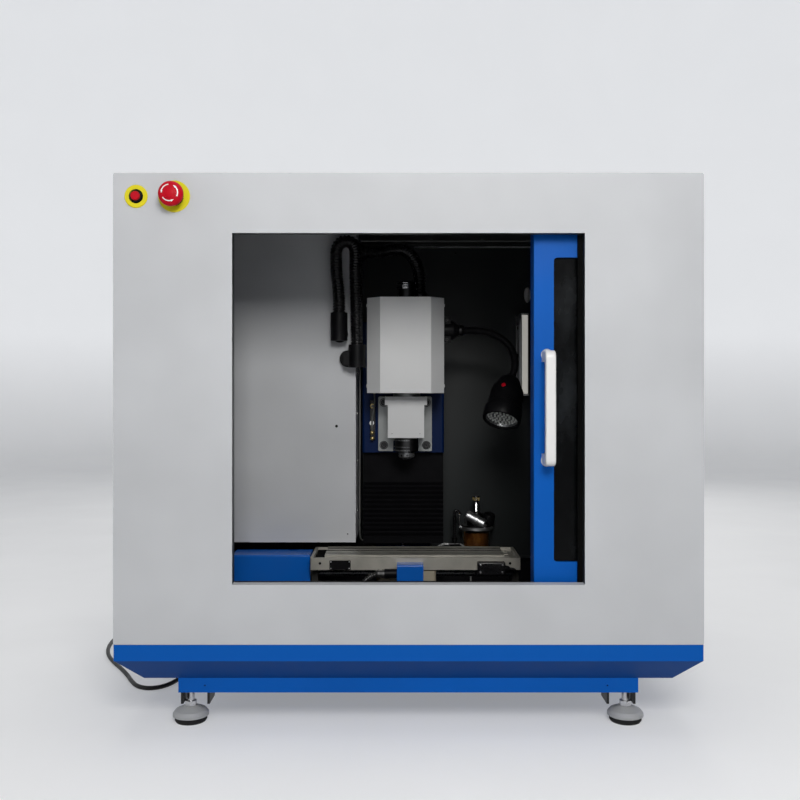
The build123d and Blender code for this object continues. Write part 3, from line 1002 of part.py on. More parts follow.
with BuildPart() as mains_coil:
    turned([(COIL_INNER, 0.1), (COIL_OUTER, 0.1), (COIL_OUTER, COIL_HEIGHT), (COIL_INNER, COIL_HEIGHT)],
           (COIL_X, depth(COIL_DEPTH), 0), (0, 0, 1))
    rod(LEAD_RADIUS, (COIL_X - COIL_RADIUS, depth(COIL_DEPTH), 4.2), (0, -1, 0), COIL_STUB)
    rod(LEAD_RADIUS, (COIL_X, depth(COIL_DEPTH + COIL_RADIUS), LEAD_HIGH), (1, 0, 0), COIL_STUB)

TAIL_END, TAIL_BEFORE = Vector(*TAIL_POINTS[-1]), Vector(*TAIL_POINTS[-2])
PLUG_AIM = (TAIL_END - TAIL_BEFORE).normalized()
PLUG_START = Vector(TAIL_END.X, depth(TAIL_END.Y), TAIL_END.Z)
PLUG_PLANE = Plane(origin=PLUG_START, x_dir=(0, 0, 1), z_dir=PLUG_AIM)
PIN_PITCH = 9.5
with BuildPart() as mains_plug:
    turned([(0, 0.02), (LEAD_RADIUS, 0.02), (LEAD_RADIUS, 10), (0, 10)], tuple(PLUG_START), tuple(PLUG_AIM))
    with BuildSketch(PLUG_PLANE.offset(10)) as plug_back:
        with Locations((7, 0)):
            RectangleRounded(20, 22, 6)
    with BuildSketch(PLUG_PLANE.offset(46)) as plug_front:
        with Locations((14, 0)):
            RectangleRounded(36, 38, 9)
    loft([plug_back.sketch, plug_front.sketch])
    for pin in (-PIN_PITCH, PIN_PITCH):
        with BuildSketch(PLUG_PLANE.offset(46)) as pin_section:
            with Locations((14, pin)):
                Circle(2.4)
        extrude(pin_section.sketch, amount=19)

pieces = {
    "front_panel": front_panel, "side_panels": side_panels, "rear_panel": rear_panel, "top_panel": top_panel,
    "base_tray": base_tray, "plinth": plinth, "foot_brackets": foot_brackets, "foot_studs": foot_studs,
    "foot_discs": foot_discs, "foot_pads": foot_pads, "control_compartment": control_compartment,
    "control_units": control_units, "door_tracks": door_tracks, "door_handle": door_handle,
    "button_rings": button_rings, "button_bases": button_bases, "estop_head": estop_head,
    "stop_button_cap": stop_button_cap, "machine_base": machine_base, "column": column, "saddle": saddle,
    "screw_nuts": screw_nuts, "table": table, "table_switch": table_switch, "x_screw": x_screw, "y_screw": y_screw,
    "z_screw": z_screw, "x_motor": x_motor, "axis_motors": axis_motors, "x_motor_cover": x_motor_cover,
    "y_motor_cover": y_motor_cover, "head_slide": head_slide, "spindle_housing": spindle_housing,
    "flange_bolts": flange_bolts, "spindle_cover": spindle_cover, "head_cover": head_cover,
    "spindle_motor": spindle_motor, "spindle_shaft": spindle_shaft, "collet_nut": collet_nut, "way_cover": way_cover,
    "lamp_arm": lamp_arm, "lamp_head": lamp_head, "lamp_lens": lamp_lens, "light_bar": light_bar,
    "oiler_pump": oiler_pump, "oiler_cup": oiler_cup, "oiler_plunger": oiler_plunger, "cable_glands": cable_glands,
    "fixed_hoses": fixed_hoses, "axis_conduit": axis_conduit, "head_hose": head_hose, "mains_lead": mains_lead,
    "mains_coil": mains_coil, "mains_plug": mains_plug,
}
for place, frame, pane in zip(("front", "middle", "rear"), door_frames, door_panes):
    pieces[f"door_frame_{place}"] = frame
    pieces[f"door_pane_{place}"] = pane

for name, piece in pieces.items():
    piece.part.label = name
    export_step(piece.part, f"parts/{name}.step")
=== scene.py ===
"""Looks of a small enclosed milling machine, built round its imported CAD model.

Sizes are in millimetres and become metres in at(). Depths count from the outer face of the
front panel, as in the CAD source, and Z counts from the floor.
"""

import json
import logging
import math
from dataclasses import dataclass
from enum import Enum

import bmesh
import bpy
from mathutils import Matrix, Vector

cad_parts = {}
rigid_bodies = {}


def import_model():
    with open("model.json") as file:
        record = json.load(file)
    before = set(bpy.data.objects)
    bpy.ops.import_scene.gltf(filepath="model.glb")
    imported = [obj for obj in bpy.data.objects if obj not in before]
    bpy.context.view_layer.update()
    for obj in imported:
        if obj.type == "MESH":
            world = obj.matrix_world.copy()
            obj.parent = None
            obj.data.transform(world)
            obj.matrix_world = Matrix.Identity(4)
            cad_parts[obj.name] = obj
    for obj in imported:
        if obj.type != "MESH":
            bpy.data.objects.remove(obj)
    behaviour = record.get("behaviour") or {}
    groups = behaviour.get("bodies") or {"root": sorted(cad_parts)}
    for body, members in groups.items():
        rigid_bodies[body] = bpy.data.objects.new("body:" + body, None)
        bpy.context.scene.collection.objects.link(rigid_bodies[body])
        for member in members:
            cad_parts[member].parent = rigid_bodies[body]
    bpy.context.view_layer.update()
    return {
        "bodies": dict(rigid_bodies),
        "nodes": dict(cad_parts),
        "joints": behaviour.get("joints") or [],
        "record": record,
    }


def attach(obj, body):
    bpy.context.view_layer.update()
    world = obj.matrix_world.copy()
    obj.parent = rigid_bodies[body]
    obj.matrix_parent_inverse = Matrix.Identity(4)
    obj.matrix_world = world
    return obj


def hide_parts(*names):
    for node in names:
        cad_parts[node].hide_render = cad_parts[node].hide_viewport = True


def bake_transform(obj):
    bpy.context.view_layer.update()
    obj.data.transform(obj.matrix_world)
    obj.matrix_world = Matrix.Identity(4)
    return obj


LOG = logging.getLogger("milling_machine")
FRONT = -370.0
SHARP = math.radians(38)
Colour = tuple[float, float, float]
Point = tuple[float, float, float]
Profile = list[tuple[float, float]]
Socket = bpy.types.NodeSocket
Finish = bpy.types.Material
Made = bpy.types.Object
Form = bmesh.types.BMesh


def at(x: float, depth: float, z: float) -> Vector:
    """Place a point of the machine in the scene.

    Args:
        x: Millimetres to the operator's right of the cabinet's middle.
        depth: Millimetres behind the outer face of the front panel.
        z: Millimetres above the floor.

    Returns:
        The point in metres.
    """
    return Vector((x, FRONT + depth, z)) / 1000


class Axis(Enum):
    """Direction that a turned piece or a stud faces."""

    RIGHT = (1, 0, 0)
    LEFT = (-1, 0, 0)
    BACK = (0, 1, 0)
    FRONT = (0, -1, 0)
    UP = (0, 0, 1)
    DOWN = (0, 0, -1)


def spot(place: Point | Vector) -> Vector:
    """A scene vector as it is, or a machine point in millimetres put in the scene."""
    return place if isinstance(place, Vector) else at(*place)


def way(axis: Axis | Point | Vector) -> Vector:
    """The direction that an axis stands for."""
    return Vector(axis.value if isinstance(axis, Axis) else axis)


def around(radius: float, angle: float) -> tuple[float, float]:
    """Both coordinates of a point on a circle about the origin."""
    return radius * math.cos(angle), radius * math.sin(angle)


# Finishes


class Tree:
    """Node tree of one material, with its shader and object coordinates ready."""

    def __init__(self, name: str) -> None:
        """Start a material of a name.

        Args:
            name: Name of the material.
        """
        self.material = bpy.data.materials.new(name)
        self.material.use_nodes = True
        self.nodes = self.material.node_tree.nodes
        self.join = self.material.node_tree.links.new
        self.shader = self.nodes["Principled BSDF"]
        self.place = self.add("ShaderNodeTexCoord").outputs["Object"]

    def add(self, kind: str, **values: object) -> bpy.types.Node:
        """Add a node.

        Args:
            kind: Blender's name of the node type.
            **values: Input values by socket name, spaces written as underscores.

        Returns:
            The new node.
        """
        node = self.nodes.new(kind)
        for key, value in values.items():
            node.inputs[key.replace("_", " ")].default_value = value
        return node

    def noise(self, size: float, detail: float = 3.0, stretch: Point = (1, 1, 1)) -> Socket:
        """Noise whose features are about as large as given.

        Args:
            size: Size of a feature in millimetres.
            detail: Levels of finer detail.
            stretch: Factor on the coordinates, below 1 where the grain runs long.

        Returns:
            The noise value, from 0 to 1.
        """
        mapping = self.add("ShaderNodeMapping", Scale=stretch)
        self.join(self.place, mapping.inputs["Vector"])
        texture = self.add("ShaderNodeTexNoise", Scale=1000 / size, Detail=detail)
        self.join(mapping.outputs["Vector"], texture.inputs["Vector"])
        return texture.outputs["Fac"]

    def between(self, value: Socket, low: float, high: float, start: float = 0.3,
                end: float = 0.7) -> Socket:
        """Map a value from a start and end to a low and high.

        Args:
            value: Value to map.
            low: Result at the start.
            high: Result at the end.
            start: Value at the start.
            end: Value at the end.

        Returns:
            The mapped value.
        """
        node = self.add("ShaderNodeMapRange", From_Min=start, From_Max=end, To_Min=low, To_Max=high)
        self.join(value, node.inputs["Value"])
        return node.outputs["Result"]

    def tint(self, colour: Colour | Socket, other: Colour | Socket, amount: Socket) -> Socket:
        """Mix two colours, or two coloured sockets, by a value.

        Args:
            colour: Colour where the value is 0.
            other: Colour where the value is 1.
            amount: Value that mixes them.

        Returns:
            The mixed colour.
        """
        node = self.nodes.new("ShaderNodeMix")
        node.data_type = "RGBA"
        self.join(amount, node.inputs[0])
        for target, side in ((node.inputs[6], colour), (node.inputs[7], other)):
            if isinstance(side, Socket):
                self.join(side, target)
            else:
                target.default_value = (*side, 1)
        return node.outputs[2]

    def mottled(self, colour: Colour, spread: float, amount: Socket) -> Socket:
        """A colour that runs from a little darker to a little lighter by a value."""
        return self.tint(shade(colour, 1 - spread), shade(colour, 1 + spread), amount)

    def maths(self, operation: str, first: Socket, second: Socket | float = 0.0) -> Socket:
        """Add a Math node on a socket and a socket or number.

        Args:
            operation: Blender's name of the operation.
            first: First value.
            second: Second value, if the operation has one.

        Returns:
            The result.
        """
        node = self.nodes.new("ShaderNodeMath")
        node.operation = operation
        self.join(first, node.inputs[0])
        if isinstance(second, Socket):
            self.join(second, node.inputs[1])
        else:
            node.inputs[1].default_value = second
        return node.outputs[0]

    def apart(self) -> tuple[Socket, Socket, Socket]:
        """The X, Y and Z of the object coordinates.

        Returns:
            One socket for each direction.
        """
        node = self.add("ShaderNodeSeparateXYZ")
        self.join(self.place, node.inputs[0])
        return tuple(node.outputs)

    def all_of(self, *masks: Socket) -> Socket:
        """One where every mask is one, else zero.

        Args:
            *masks: Sockets that are zero or one.

        Returns:
            The product of the masks.
        """
        both = masks[0]
        for mask in masks[1:]:
            both = self.maths("MULTIPLY", both, mask)
        return both

    def paint(self, colour: Socket, rough: Socket, grain: Socket, height: float, **values: object) -> Finish:
        """Give the shader its colour, roughness, fine relief and constants.

        Args:
            colour: Base colour.
            rough: Roughness.
            grain: Value that the relief follows.
            height: Height of the relief in millimetres.
            **values: Shader inputs by socket name, spaces written as underscores.

        Returns:
            The finished material.
        """
        self.join(colour, self.shader.inputs["Base Color"])
        self.join(rough, self.shader.inputs["Roughness"])
        bump = self.add("ShaderNodeBump", Strength=1.0, Distance=height / 1000)
        self.join(grain, bump.inputs["Height"])
        self.join(bump.outputs["Normal"], self.shader.inputs["Normal"])
        return self.close(**values)

    def close(self, **values: object) -> Finish:
        """Set constants on the shader and return the material."""
        for key, value in values.items():
            self.shader.inputs[key.replace("_", " ")].default_value = value
        return self.material


def shade(colour: Colour, factor: float) -> Colour:
    """A colour made darker or lighter by a factor."""
    return tuple(min(1.0, part * factor) for part in colour)


@dataclass(frozen=True)
class PowderCoat:
    """Baked powder coat on sheet metal: fine orange peel and a slight unevenness."""

    name: str
    colour: Colour
    roughness: float = 0.42
    peel: float = 1.6
    depth: float = 0.02
    mottle: float = 0.06
    coat: float = 0.0
    gloss: float = 0.4

    def build(self) -> Finish:
        """Make the material.

        Returns:
            The finished material.
        """
        tree = Tree(self.name)
        colour = tree.mottled(self.colour, self.mottle, tree.between(tree.noise(170, 2), 0, 1))
        rough = tree.between(tree.noise(60, 4), self.roughness - 0.06, self.roughness + 0.08)
        return tree.paint(colour, rough, tree.noise(self.peel, 2), self.depth, Coat_Weight=self.coat,
                          Coat_Roughness=0.25, Specular_IOR_Level=self.gloss)


@dataclass(frozen=True)
class LinedSheet:
    """Sheet that is powder coated pale outside, and on a sill, and dark glossy grey towards the chamber."""

    name: str
    outside: Colour
    inside: Colour
    half: float = 0.4743
    back: float = 0.3793
    top: float = 0.9072
    front: float = -1.0
    sill: float = -1.0
    gloss: float = 0.3
    smoother: float = 0.13

    def build(self) -> Finish:
        """Make the material, its sides told apart by a face's place in the cabinet.

        Returns:
            The finished material.
        """
        tree = Tree(self.name)
        x, y, z = tree.apart()
        above = tree.maths("ABSOLUTE", tree.maths("SUBTRACT", z, self.sill))
        mask = tree.all_of(tree.maths("LESS_THAN", tree.maths("ABSOLUTE", x), self.half),
                           tree.maths("LESS_THAN", y, self.back), tree.maths("LESS_THAN", z, self.top),
                           tree.maths("GREATER_THAN", y, self.front),
                           tree.maths("GREATER_THAN", above, 0.001))
        broad = tree.between(tree.noise(170, 2), 0, 1)
        colour = tree.tint(tree.mottled(self.outside, 0.05, broad), tree.mottled(self.inside, 0.08, broad),
                           mask)
        rough = tree.maths("SUBTRACT", tree.between(tree.noise(60, 4), 0.46, 0.52),
                           tree.maths("MULTIPLY", mask, self.smoother))
        return tree.paint(colour, rough, tree.noise(1.6, 2), 0.02, Specular_IOR_Level=self.gloss)


@dataclass(frozen=True)
class TrayCoat:
    """Blue powder coat on the tray's outside, with painted shade on the slope below the knee, and dark
    enamel inside it, where coolant runs.
    """

    name: str
    outside: Colour
    inside: Colour
    knee: float = 0.123
    slope: float = 0.974
    half_wide: float = 0.4738
    half_deep: float = 0.3738
    middle: float = 0.005
    floor: float = 0.0846
    shaded: float = 0.56

    def build(self) -> Finish:
        """Make the material, the inside told apart by the walls' slope.

        Returns:
            The finished material.
        """
        tree = Tree(self.name)
        x, y, z = tree.apart()
        below = tree.maths("MULTIPLY", tree.maths("SUBTRACT", z, self.knee), -self.slope)
        below = tree.maths("MAXIMUM", below, 0.0)
        across = tree.maths("ADD", tree.maths("ABSOLUTE", x), below)
        along = tree.maths("ADD", tree.maths("ABSOLUTE", tree.maths("SUBTRACT", y, self.middle)), below)
        mask = tree.all_of(tree.maths("LESS_THAN", across, self.half_wide),
                           tree.maths("LESS_THAN", along, self.half_deep),
                           tree.maths("GREATER_THAN", z, self.floor))
        # Painted shade: below the knee the downward-facing slope gets a darker copy of the blue.
        blue = tree.tint(shade(self.outside, self.shaded), self.outside,
                         tree.maths("GREATER_THAN", z, self.knee))
        dark = tree.tint(self.inside, shade(self.inside, 1.6), tree.noise(40, 4))
        return tree.paint(tree.tint(blue, dark, mask), tree.between(tree.noise(60, 4), 0.38, 0.48),
                          tree.noise(1.6, 2), 0.02, Specular_IOR_Level=0.12)


@dataclass(frozen=True)
class BareMetal:
    """Machined or brushed metal with a grain that runs along one direction."""

    name: str
    colour: Colour
    roughness: float = 0.35
    grain: Point = (0.04, 1, 1)
    size: float = 0.9
    depth: float = 0.012
    stain: float = 0.12
    metal: float = 1.0
    oily_below: float = 0.0

    def build(self) -> Finish:
        """Make the material, with painted shade under a height where one is given.

        Returns:
            The finished material.
        """
        tree = Tree(self.name)
        lines = tree.noise(self.size, 3, self.grain)
        colour = tree.mottled(self.colour, self.stain, tree.between(tree.noise(38, 4), 0, 1))
        # Painted shade: faces below the height, under the table, fade to a near black copy of the colour.
        if self.oily_below:
            fade = tree.between(tree.apart()[2], 0.06, 1.0, self.oily_below - 0.002, self.oily_below)
            colour = tree.tint(shade(self.colour, 0.05), colour, fade)
        rough = tree.between(lines, self.roughness - 0.1, self.roughness + 0.12)
        return tree.paint(colour, rough, lines, self.depth, Metallic=self.metal)


@dataclass(frozen=True)
class Moulded:
    """Moulded plastic or rubber with a fine spark-eroded texture."""

    name: str
    colour: Colour
    roughness: float = 0.5
    grain: float = 0.7
    depth: float = 0.02
    coat: float = 0.0
    dust: float = 0.1
    glow: float = 0.0
    gloss: float = 0.5

    def build(self) -> Finish:
        """Make the material.

        Returns:
            The finished material.
        """
        tree = Tree(self.name)
        dusty = tuple(part + (0.35 - part) * self.dust for part in self.colour)
        colour = tree.tint(self.colour, dusty, tree.between(tree.noise(45, 5), 0, 1, 0.42, 0.75))
        rough = tree.between(tree.noise(20, 4), self.roughness - 0.08, self.roughness + 0.1)
        return tree.paint(colour, rough, tree.noise(self.grain, 2), self.depth, Coat_Weight=self.coat,
                          Coat_Roughness=0.12, Emission_Color=(*self.colour, 1), Emission_Strength=self.glow,
                          Specular_IOR_Level=self.gloss)


@dataclass(frozen=True)
class ClearPane:
    """Tinted pane or clear plastic that light passes through, with wiped smears."""

    name: str
    colour: Colour
    clear: float = 0.6
    roughness: float = 0.08
    smear: float = 0.2
    gloss: float = 0.5
    bloom: float = 1.5

    def build(self) -> Finish:
        """Make the material.

        Returns:
            The finished material.
        """
        tree = Tree(self.name)
        wiped = tree.noise(55, 5, (1, 1, 0.45))
        rough = tree.between(wiped, self.roughness, self.roughness + self.smear, 0.4, 0.75)
        blots = tree.maths("MULTIPLY", tree.between(wiped, 0.1, 1, 0.45, 0.7), tree.noise(19, 3))
        tree.join(rough, tree.shader.inputs["Roughness"])
        tree.join(tree.tint(self.colour, shade(self.colour, self.bloom), blots),
                  tree.shader.inputs["Base Color"])
        return tree.close(Transmission_Weight=self.clear, IOR=1.46, Specular_IOR_Level=self.gloss)


class Palette:
    """All finishes of the machine, made once."""

    def __init__(self) -> None:
        """Make every material."""
        grey, lining, blue = (0.56, 0.575, 0.6), (0.022, 0.026, 0.027), (0.0008, 0.1, 0.46)
        plain = (1, 1, 1)
        made = {
            "lined_sheet": LinedSheet("grey_coat_dark_lining", grey, lining),
            # Painted shade: the dark lining also covers the window's returns, which lie in shadow; the sill
            # keeps the pale coat.
            "front_sheet": LinedSheet("front_coat_lining_shaded_returns", grey, lining, front=-0.3693, sill=0.2456),
            "blue_sheet": PowderCoat("blue_powder_coat", blue, gloss=0.12),
            # Painted shade: a darker copy of the blue paint for the column and head slide, which sit in
            # shadow.
            "painted_shade_blue": PowderCoat("blue_coat_painted_shade", (0.0006, 0.011, 0.06), gloss=0.1),
            "cover_blue": PowderCoat("blue_cover_coat", (0.001, 0.115, 0.52), 0.32, coat=0.3, gloss=0.4),
            # Painted shade: a darker copy of the door's blue for the middle and rear leaves, which lie in
            # shadow behind the front one.
            "painted_shade_leaf_blue": PowderCoat("inner_leaf_blue_painted_shade", (0.0008, 0.055, 0.28), gloss=0.12),
            "tray_coat": TrayCoat("blue_tray_dark_inside", blue, (0.006, 0.006, 0.007)),
            "compartment": PowderCoat("compartment_grey_coat", grey, 0.4),
            "cover_white": PowderCoat("pale_cover_coat", (0.66, 0.67, 0.68), 0.4),
            "bed_enamel": PowderCoat("dark_bed_enamel", (0.03, 0.032, 0.036), 0.35, 3.0, 0.06),
            "cast_grey": PowderCoat("grey_cast_enamel", (0.42, 0.43, 0.44), 0.45, 2.6, 0.08),
            "ground_iron": BareMetal("ground_table_iron", (0.43, 0.415, 0.37), 0.42, stain=0.14, metal=0.5,
                                     oily_below=0.2075),
            "saddle_iron": BareMetal("milled_saddle_iron", (0.46, 0.41, 0.31), 0.44, (0.2, 1, 1), metal=0.5),
            # Milled iron, darkened below its own tone as painted shade for the shadow over the flange's left
            # part.
            "flange_iron": BareMetal("milled_flange_iron_painted_shade", (0.23, 0.24, 0.24), 0.44, (1, 1, 0.2),
                                     metal=0.55),
            "steel": BareMetal("zinc_plated_steel", (0.55, 0.55, 0.56), 0.36, plain, 2.0),
            "polished": BareMetal("polished_steel", (0.66, 0.66, 0.67), 0.16, (1, 1, 0.05), 0.6, 0.004),
            "aluminium": BareMetal("cast_aluminium", (0.6, 0.61, 0.62), 0.4, plain, 1.8, 0.03),
            "brass": BareMetal("turned_brass", (0.56, 0.44, 0.2), 0.28, plain, 1.2, 0.01),
            "black_steel": BareMetal("blackened_steel", (0.035, 0.035, 0.036), 0.38, plain, 1.5),
            "reflector": BareMetal("bright_reflector", (0.16, 0.165, 0.17), 0.3, plain, 3.0, 0.01,
                                   metal=0.6),
            "black_plastic": Moulded("black_plastic", (0.004, 0.004, 0.005), 0.42, dust=0.01, gloss=0.1),
            "hose_plastic": Moulded("black_conduit_plastic", (0.006, 0.006, 0.007), 0.26, coat=0.22,
                                    dust=0.02, gloss=0.3),
            "grey_conduit": Moulded("grey_conduit_plastic", (0.026, 0.026, 0.025), 0.3, coat=1.0, dust=0.02),
            "rubber": Moulded("black_rubber", (0.01, 0.01, 0.01), 0.72, 0.9, 0.03, dust=0.02, gloss=0.2),
            "lead_skin": Moulded("lead_sheath", (0.009, 0.009, 0.009), 0.48, 1.4, dust=0.04, gloss=0.3),
            "bellows": Moulded("coated_bellows_cloth", (0.004, 0.004, 0.005), 0.55, 1.0, 0.05, dust=0.003,
                               gloss=0.05),
            "yellow": Moulded("yellow_plate", (0.76, 0.66, 0.01), 0.42, dust=0.02, gloss=0.25),
            "red": Moulded("red_plastic", (0.52, 0.002, 0.014), 0.44, dust=0.002, gloss=0.14),
            "white": Moulded("white_plastic", (0.8, 0.8, 0.8), 0.36, coat=0.2, dust=0.02),
            "diffuser": Moulded("lamp_diffuser", (0.88, 0.86, 0.79), 0.55, dust=0.0, glow=0.32),
            "pale_tube": Moulded("pale_nylon_tube", (0.11, 0.115, 0.11), 0.4, dust=0.03),
            "light_point": Moulded("clear_light_point", (0.62, 0.64, 0.62), 0.25, coat=0.6, dust=0.0,
                                   glow=0.04),
            # Painted shade: near black that stands for the shade in screw sockets, nut notches, the table's
            # trough and slots, and beside the door's edge.
            "dark_gap": Moulded("painted_shade_black", (0.003, 0.003, 0.003), 0.8, dust=0.0, gloss=0.05),
            "pane": ClearPane("smoked_door_pane", (0.0014, 0.0016, 0.0018), 0.12, 0.16, 0.2, 0.02, 18.0),
            "lens": ClearPane("lamp_lens", (0.9, 0.92, 0.95), 0.85, 0.05, 0.1),
            "cup": ClearPane("clear_cup", (0.95, 0.9, 0.8), 1.0, 0.02, 0.04, 0.4, 1.0),
            "oil": ClearPane("amber_oil", (0.26, 0.12, 0.035), 0.25, 0.1, 0.05, 0.3),
            "tube": ClearPane("clear_tube", (0.9, 0.91, 0.9), 0.6, 0.15, 0.1),
        }
        self.finishes = {key: finish.build() for key, finish in made.items()}

    def __getattr__(self, key: str) -> Finish:
        """The finish of a key."""
        return self.finishes[key]


# Mesh tools


def link(name: str, data: bpy.types.ID) -> Made:
    """Put data in the scene as an object.

    Args:
        name: Name of the object.
        data: Mesh, curve, camera or lamp that it shows.

    Returns:
        The new object.
    """
    made = bpy.data.objects.new(name, data)
    bpy.context.scene.collection.objects.link(made)
    return made


def piece(name: str, mesh: bpy.types.Mesh, material: Finish, smooth: bool = False) -> Made:
    """Put a mesh in the scene as a named piece.

    Args:
        name: Name of the piece.
        mesh: Mesh whose vertices are in their final place.
        material: Finish of all its faces.
        smooth: True for a curved surface.

    Returns:
        The new object.
    """
    mesh.name = name
    mesh.materials.clear()
    mesh.materials.append(material)
    if smooth:
        mesh.shade_smooth()
    return link(name, mesh)


def from_bmesh(name: str, form: Form, material: Finish, smooth: bool = False) -> Made:
    """Turn a bmesh into a piece, its faces pointing outwards.

    Args:
        name: Name of the piece.
        form: Bmesh, freed afterwards.
        material: Finish of all its faces.
        smooth: True for a curved surface.

    Returns:
        The piece.
    """
    bmesh.ops.remove_doubles(form, verts=form.verts, dist=1e-7)
    bmesh.ops.recalc_face_normals(form, faces=form.faces)
    mesh = bpy.data.meshes.new(name)
    form.to_mesh(mesh)
    form.free()
    return piece(name, mesh, material, smooth)


def turning(axis: Vector) -> Matrix:
    """Rotation that takes +Z to a direction."""
    return Vector((0, 0, 1)).rotation_difference(axis.normalized()).to_matrix().to_4x4()


def lathe(form: Form, profile: Profile, foot: Point | Vector, axis: Axis | Point | Vector,
          steps: int = 48) -> None:
    """Add a turned solid to a bmesh.

    A profile that starts and ends off the axis, and has more than two points, closes on itself
    to a ring. Any other one gets flat ends.

    Args:
        form: Bmesh that receives it.
        profile: Radius and height pairs in millimetres, from one end of the axis to the other.
        foot: Foot of the axis, in millimetres of the machine, or a vector in the scene.
        axis: Direction of the axis.
        steps: Number of sides.
    """
    turn = Matrix.Translation(spot(foot)) @ turning(way(axis))
    rings = []
    for radius, height in profile:
        if radius <= 0:
            rings.append([form.verts.new(turn @ Vector((0, 0, height / 1000)))])
            continue
        rings.append([form.verts.new(turn @ Vector((radius * math.cos(2 * math.pi * step / steps) / 1000,
                                                    radius * math.sin(2 * math.pi * step / steps) / 1000,
                                                    height / 1000))) for step in range(steps)])
    hollow = len(rings) > 2 and len(rings[0]) > 1 and len(rings[-1]) > 1
    for low, high in zip(rings, rings[1:] + rings[:1] * hollow):
        for step in range(steps):
            after = (step + 1) % steps
            corners = [low[step % len(low)], low[after % len(low)], high[after % len(high)],
                       high[step % len(high)]]
            unique = list(dict.fromkeys(corners))
            if len(unique) > 2:
                form.faces.new(unique)
    for ring in (rings[0], rings[-1]):
        if len(ring) > 1 and not hollow:
            form.faces.new(ring)


def turned_piece(name: str, profile: Profile, feet: Point | Vector | list[Point],
                 axis: Axis | Point | Vector, material: Finish, steps: int = 48,
                 smooth: bool = True) -> Made:
    """Make one piece of a solid turned at one foot or at several.

    Args:
        name: Name of the piece.
        profile: Radius and height pairs in millimetres.
        feet: Foot of the axis, or a list of feet.
        axis: Direction of the axis.
        material: Finish of the piece.
        steps: Number of sides.
        smooth: True to shade it smooth but for its sharp edges.

    Returns:
        The piece.
    """
    form = bmesh.new()
    for foot in feet if isinstance(feet, list) else [feet]:
        lathe(form, profile, foot, axis, steps)
    made = from_bmesh(name, form, material, smooth)
    if smooth:
        made.data.set_sharp_from_angle(angle=SHARP)
    return made


def add_block(form: Form, low: Point, high: Point, bevel: float = 0.0) -> None:
    """Add an upright block with softened edges to a bmesh.

    Args:
        form: Bmesh that receives it.
        low: Lowest corner.
        high: Highest corner.
        bevel: Width of the softened edges in millimetres.
    """
    low, high = at(*low), at(*high)
    place = Matrix.Translation((low + high) / 2) @ Matrix.Diagonal((*(high - low), 1))
    made = bmesh.ops.create_cube(form, size=1, matrix=place)
    if bevel:
        edges = dict.fromkeys(edge for vert in made["verts"] for edge in vert.link_edges)
        bmesh.ops.bevel(form, geom=list(edges), offset=bevel / 1000, segments=2, profile=0.5,
                        affect="EDGES", clamp_overlap=True)


def block_piece(name: str, material: Finish, *boxes: tuple[Point, Point, float]) -> Made:
    """Make one piece of softened blocks, each given by its corners and the width of its edges.

    Args:
        name: Name of the piece.
        material: Finish of the piece.
        *boxes: Lowest corner, highest corner and width of the soft edges of each block.

    Returns:
        The piece.
    """
    form = bmesh.new()
    for low, high, bevel in boxes:
        add_block(form, low, high, bevel)
    return from_bmesh(name, form, material)


def spline(name: str, points: list[Point | Vector], radius: float = 0.0) -> Made:
    """Make a smooth open curve whose control points are the route's points.

    Args:
        name: Name of the curve.
        points: Route points.
        radius: Radius of its round section in millimetres, 0 for the bare line.

    Returns:
        The curve object.
    """
    data = bpy.data.curves.new(name, "CURVE")
    data.dimensions = "3D"
    line = data.splines.new("NURBS")
    line.points.add(len(points) - 1)
    for place, control in zip(points, line.points):
        control.co = (*spot(place), 1)
    line.order_u = 3
    line.use_endpoint_u = True
    line.resolution_u = 8
    data.bevel_depth = radius / 1000
    data.bevel_resolution = 5
    data.use_fill_caps = radius > 0
    return link(name, data)


def to_mesh(source: Made, name: str, material: Finish | None = None) -> Made:
    """Replace an object by the plain mesh that it evaluates to.

    Args:
        source: Curve or mesh object, removed afterwards.
        name: Name of the new object.
        material: Finish of all its faces, if it gets a new one.

    Returns:
        The plain mesh object.
    """
    graph = bpy.context.evaluated_depsgraph_get()
    mesh = bpy.data.meshes.new_from_object(source.evaluated_get(graph))
    data = source.data
    bpy.data.objects.remove(source)
    if data.users == 0 and isinstance(data, bpy.types.Curve):
        bpy.data.curves.remove(data)
    if material:
        return piece(name, mesh, material, True)
    mesh.name = name
    return link(name, mesh)


def tube(name: str, points: list[Point], radius: float, material: Finish) -> Made:
    """Make a round tube along a smooth line as a mesh piece."""
    return to_mesh(spline(name + "_line", points, radius), name, material)


# Geometry node trees


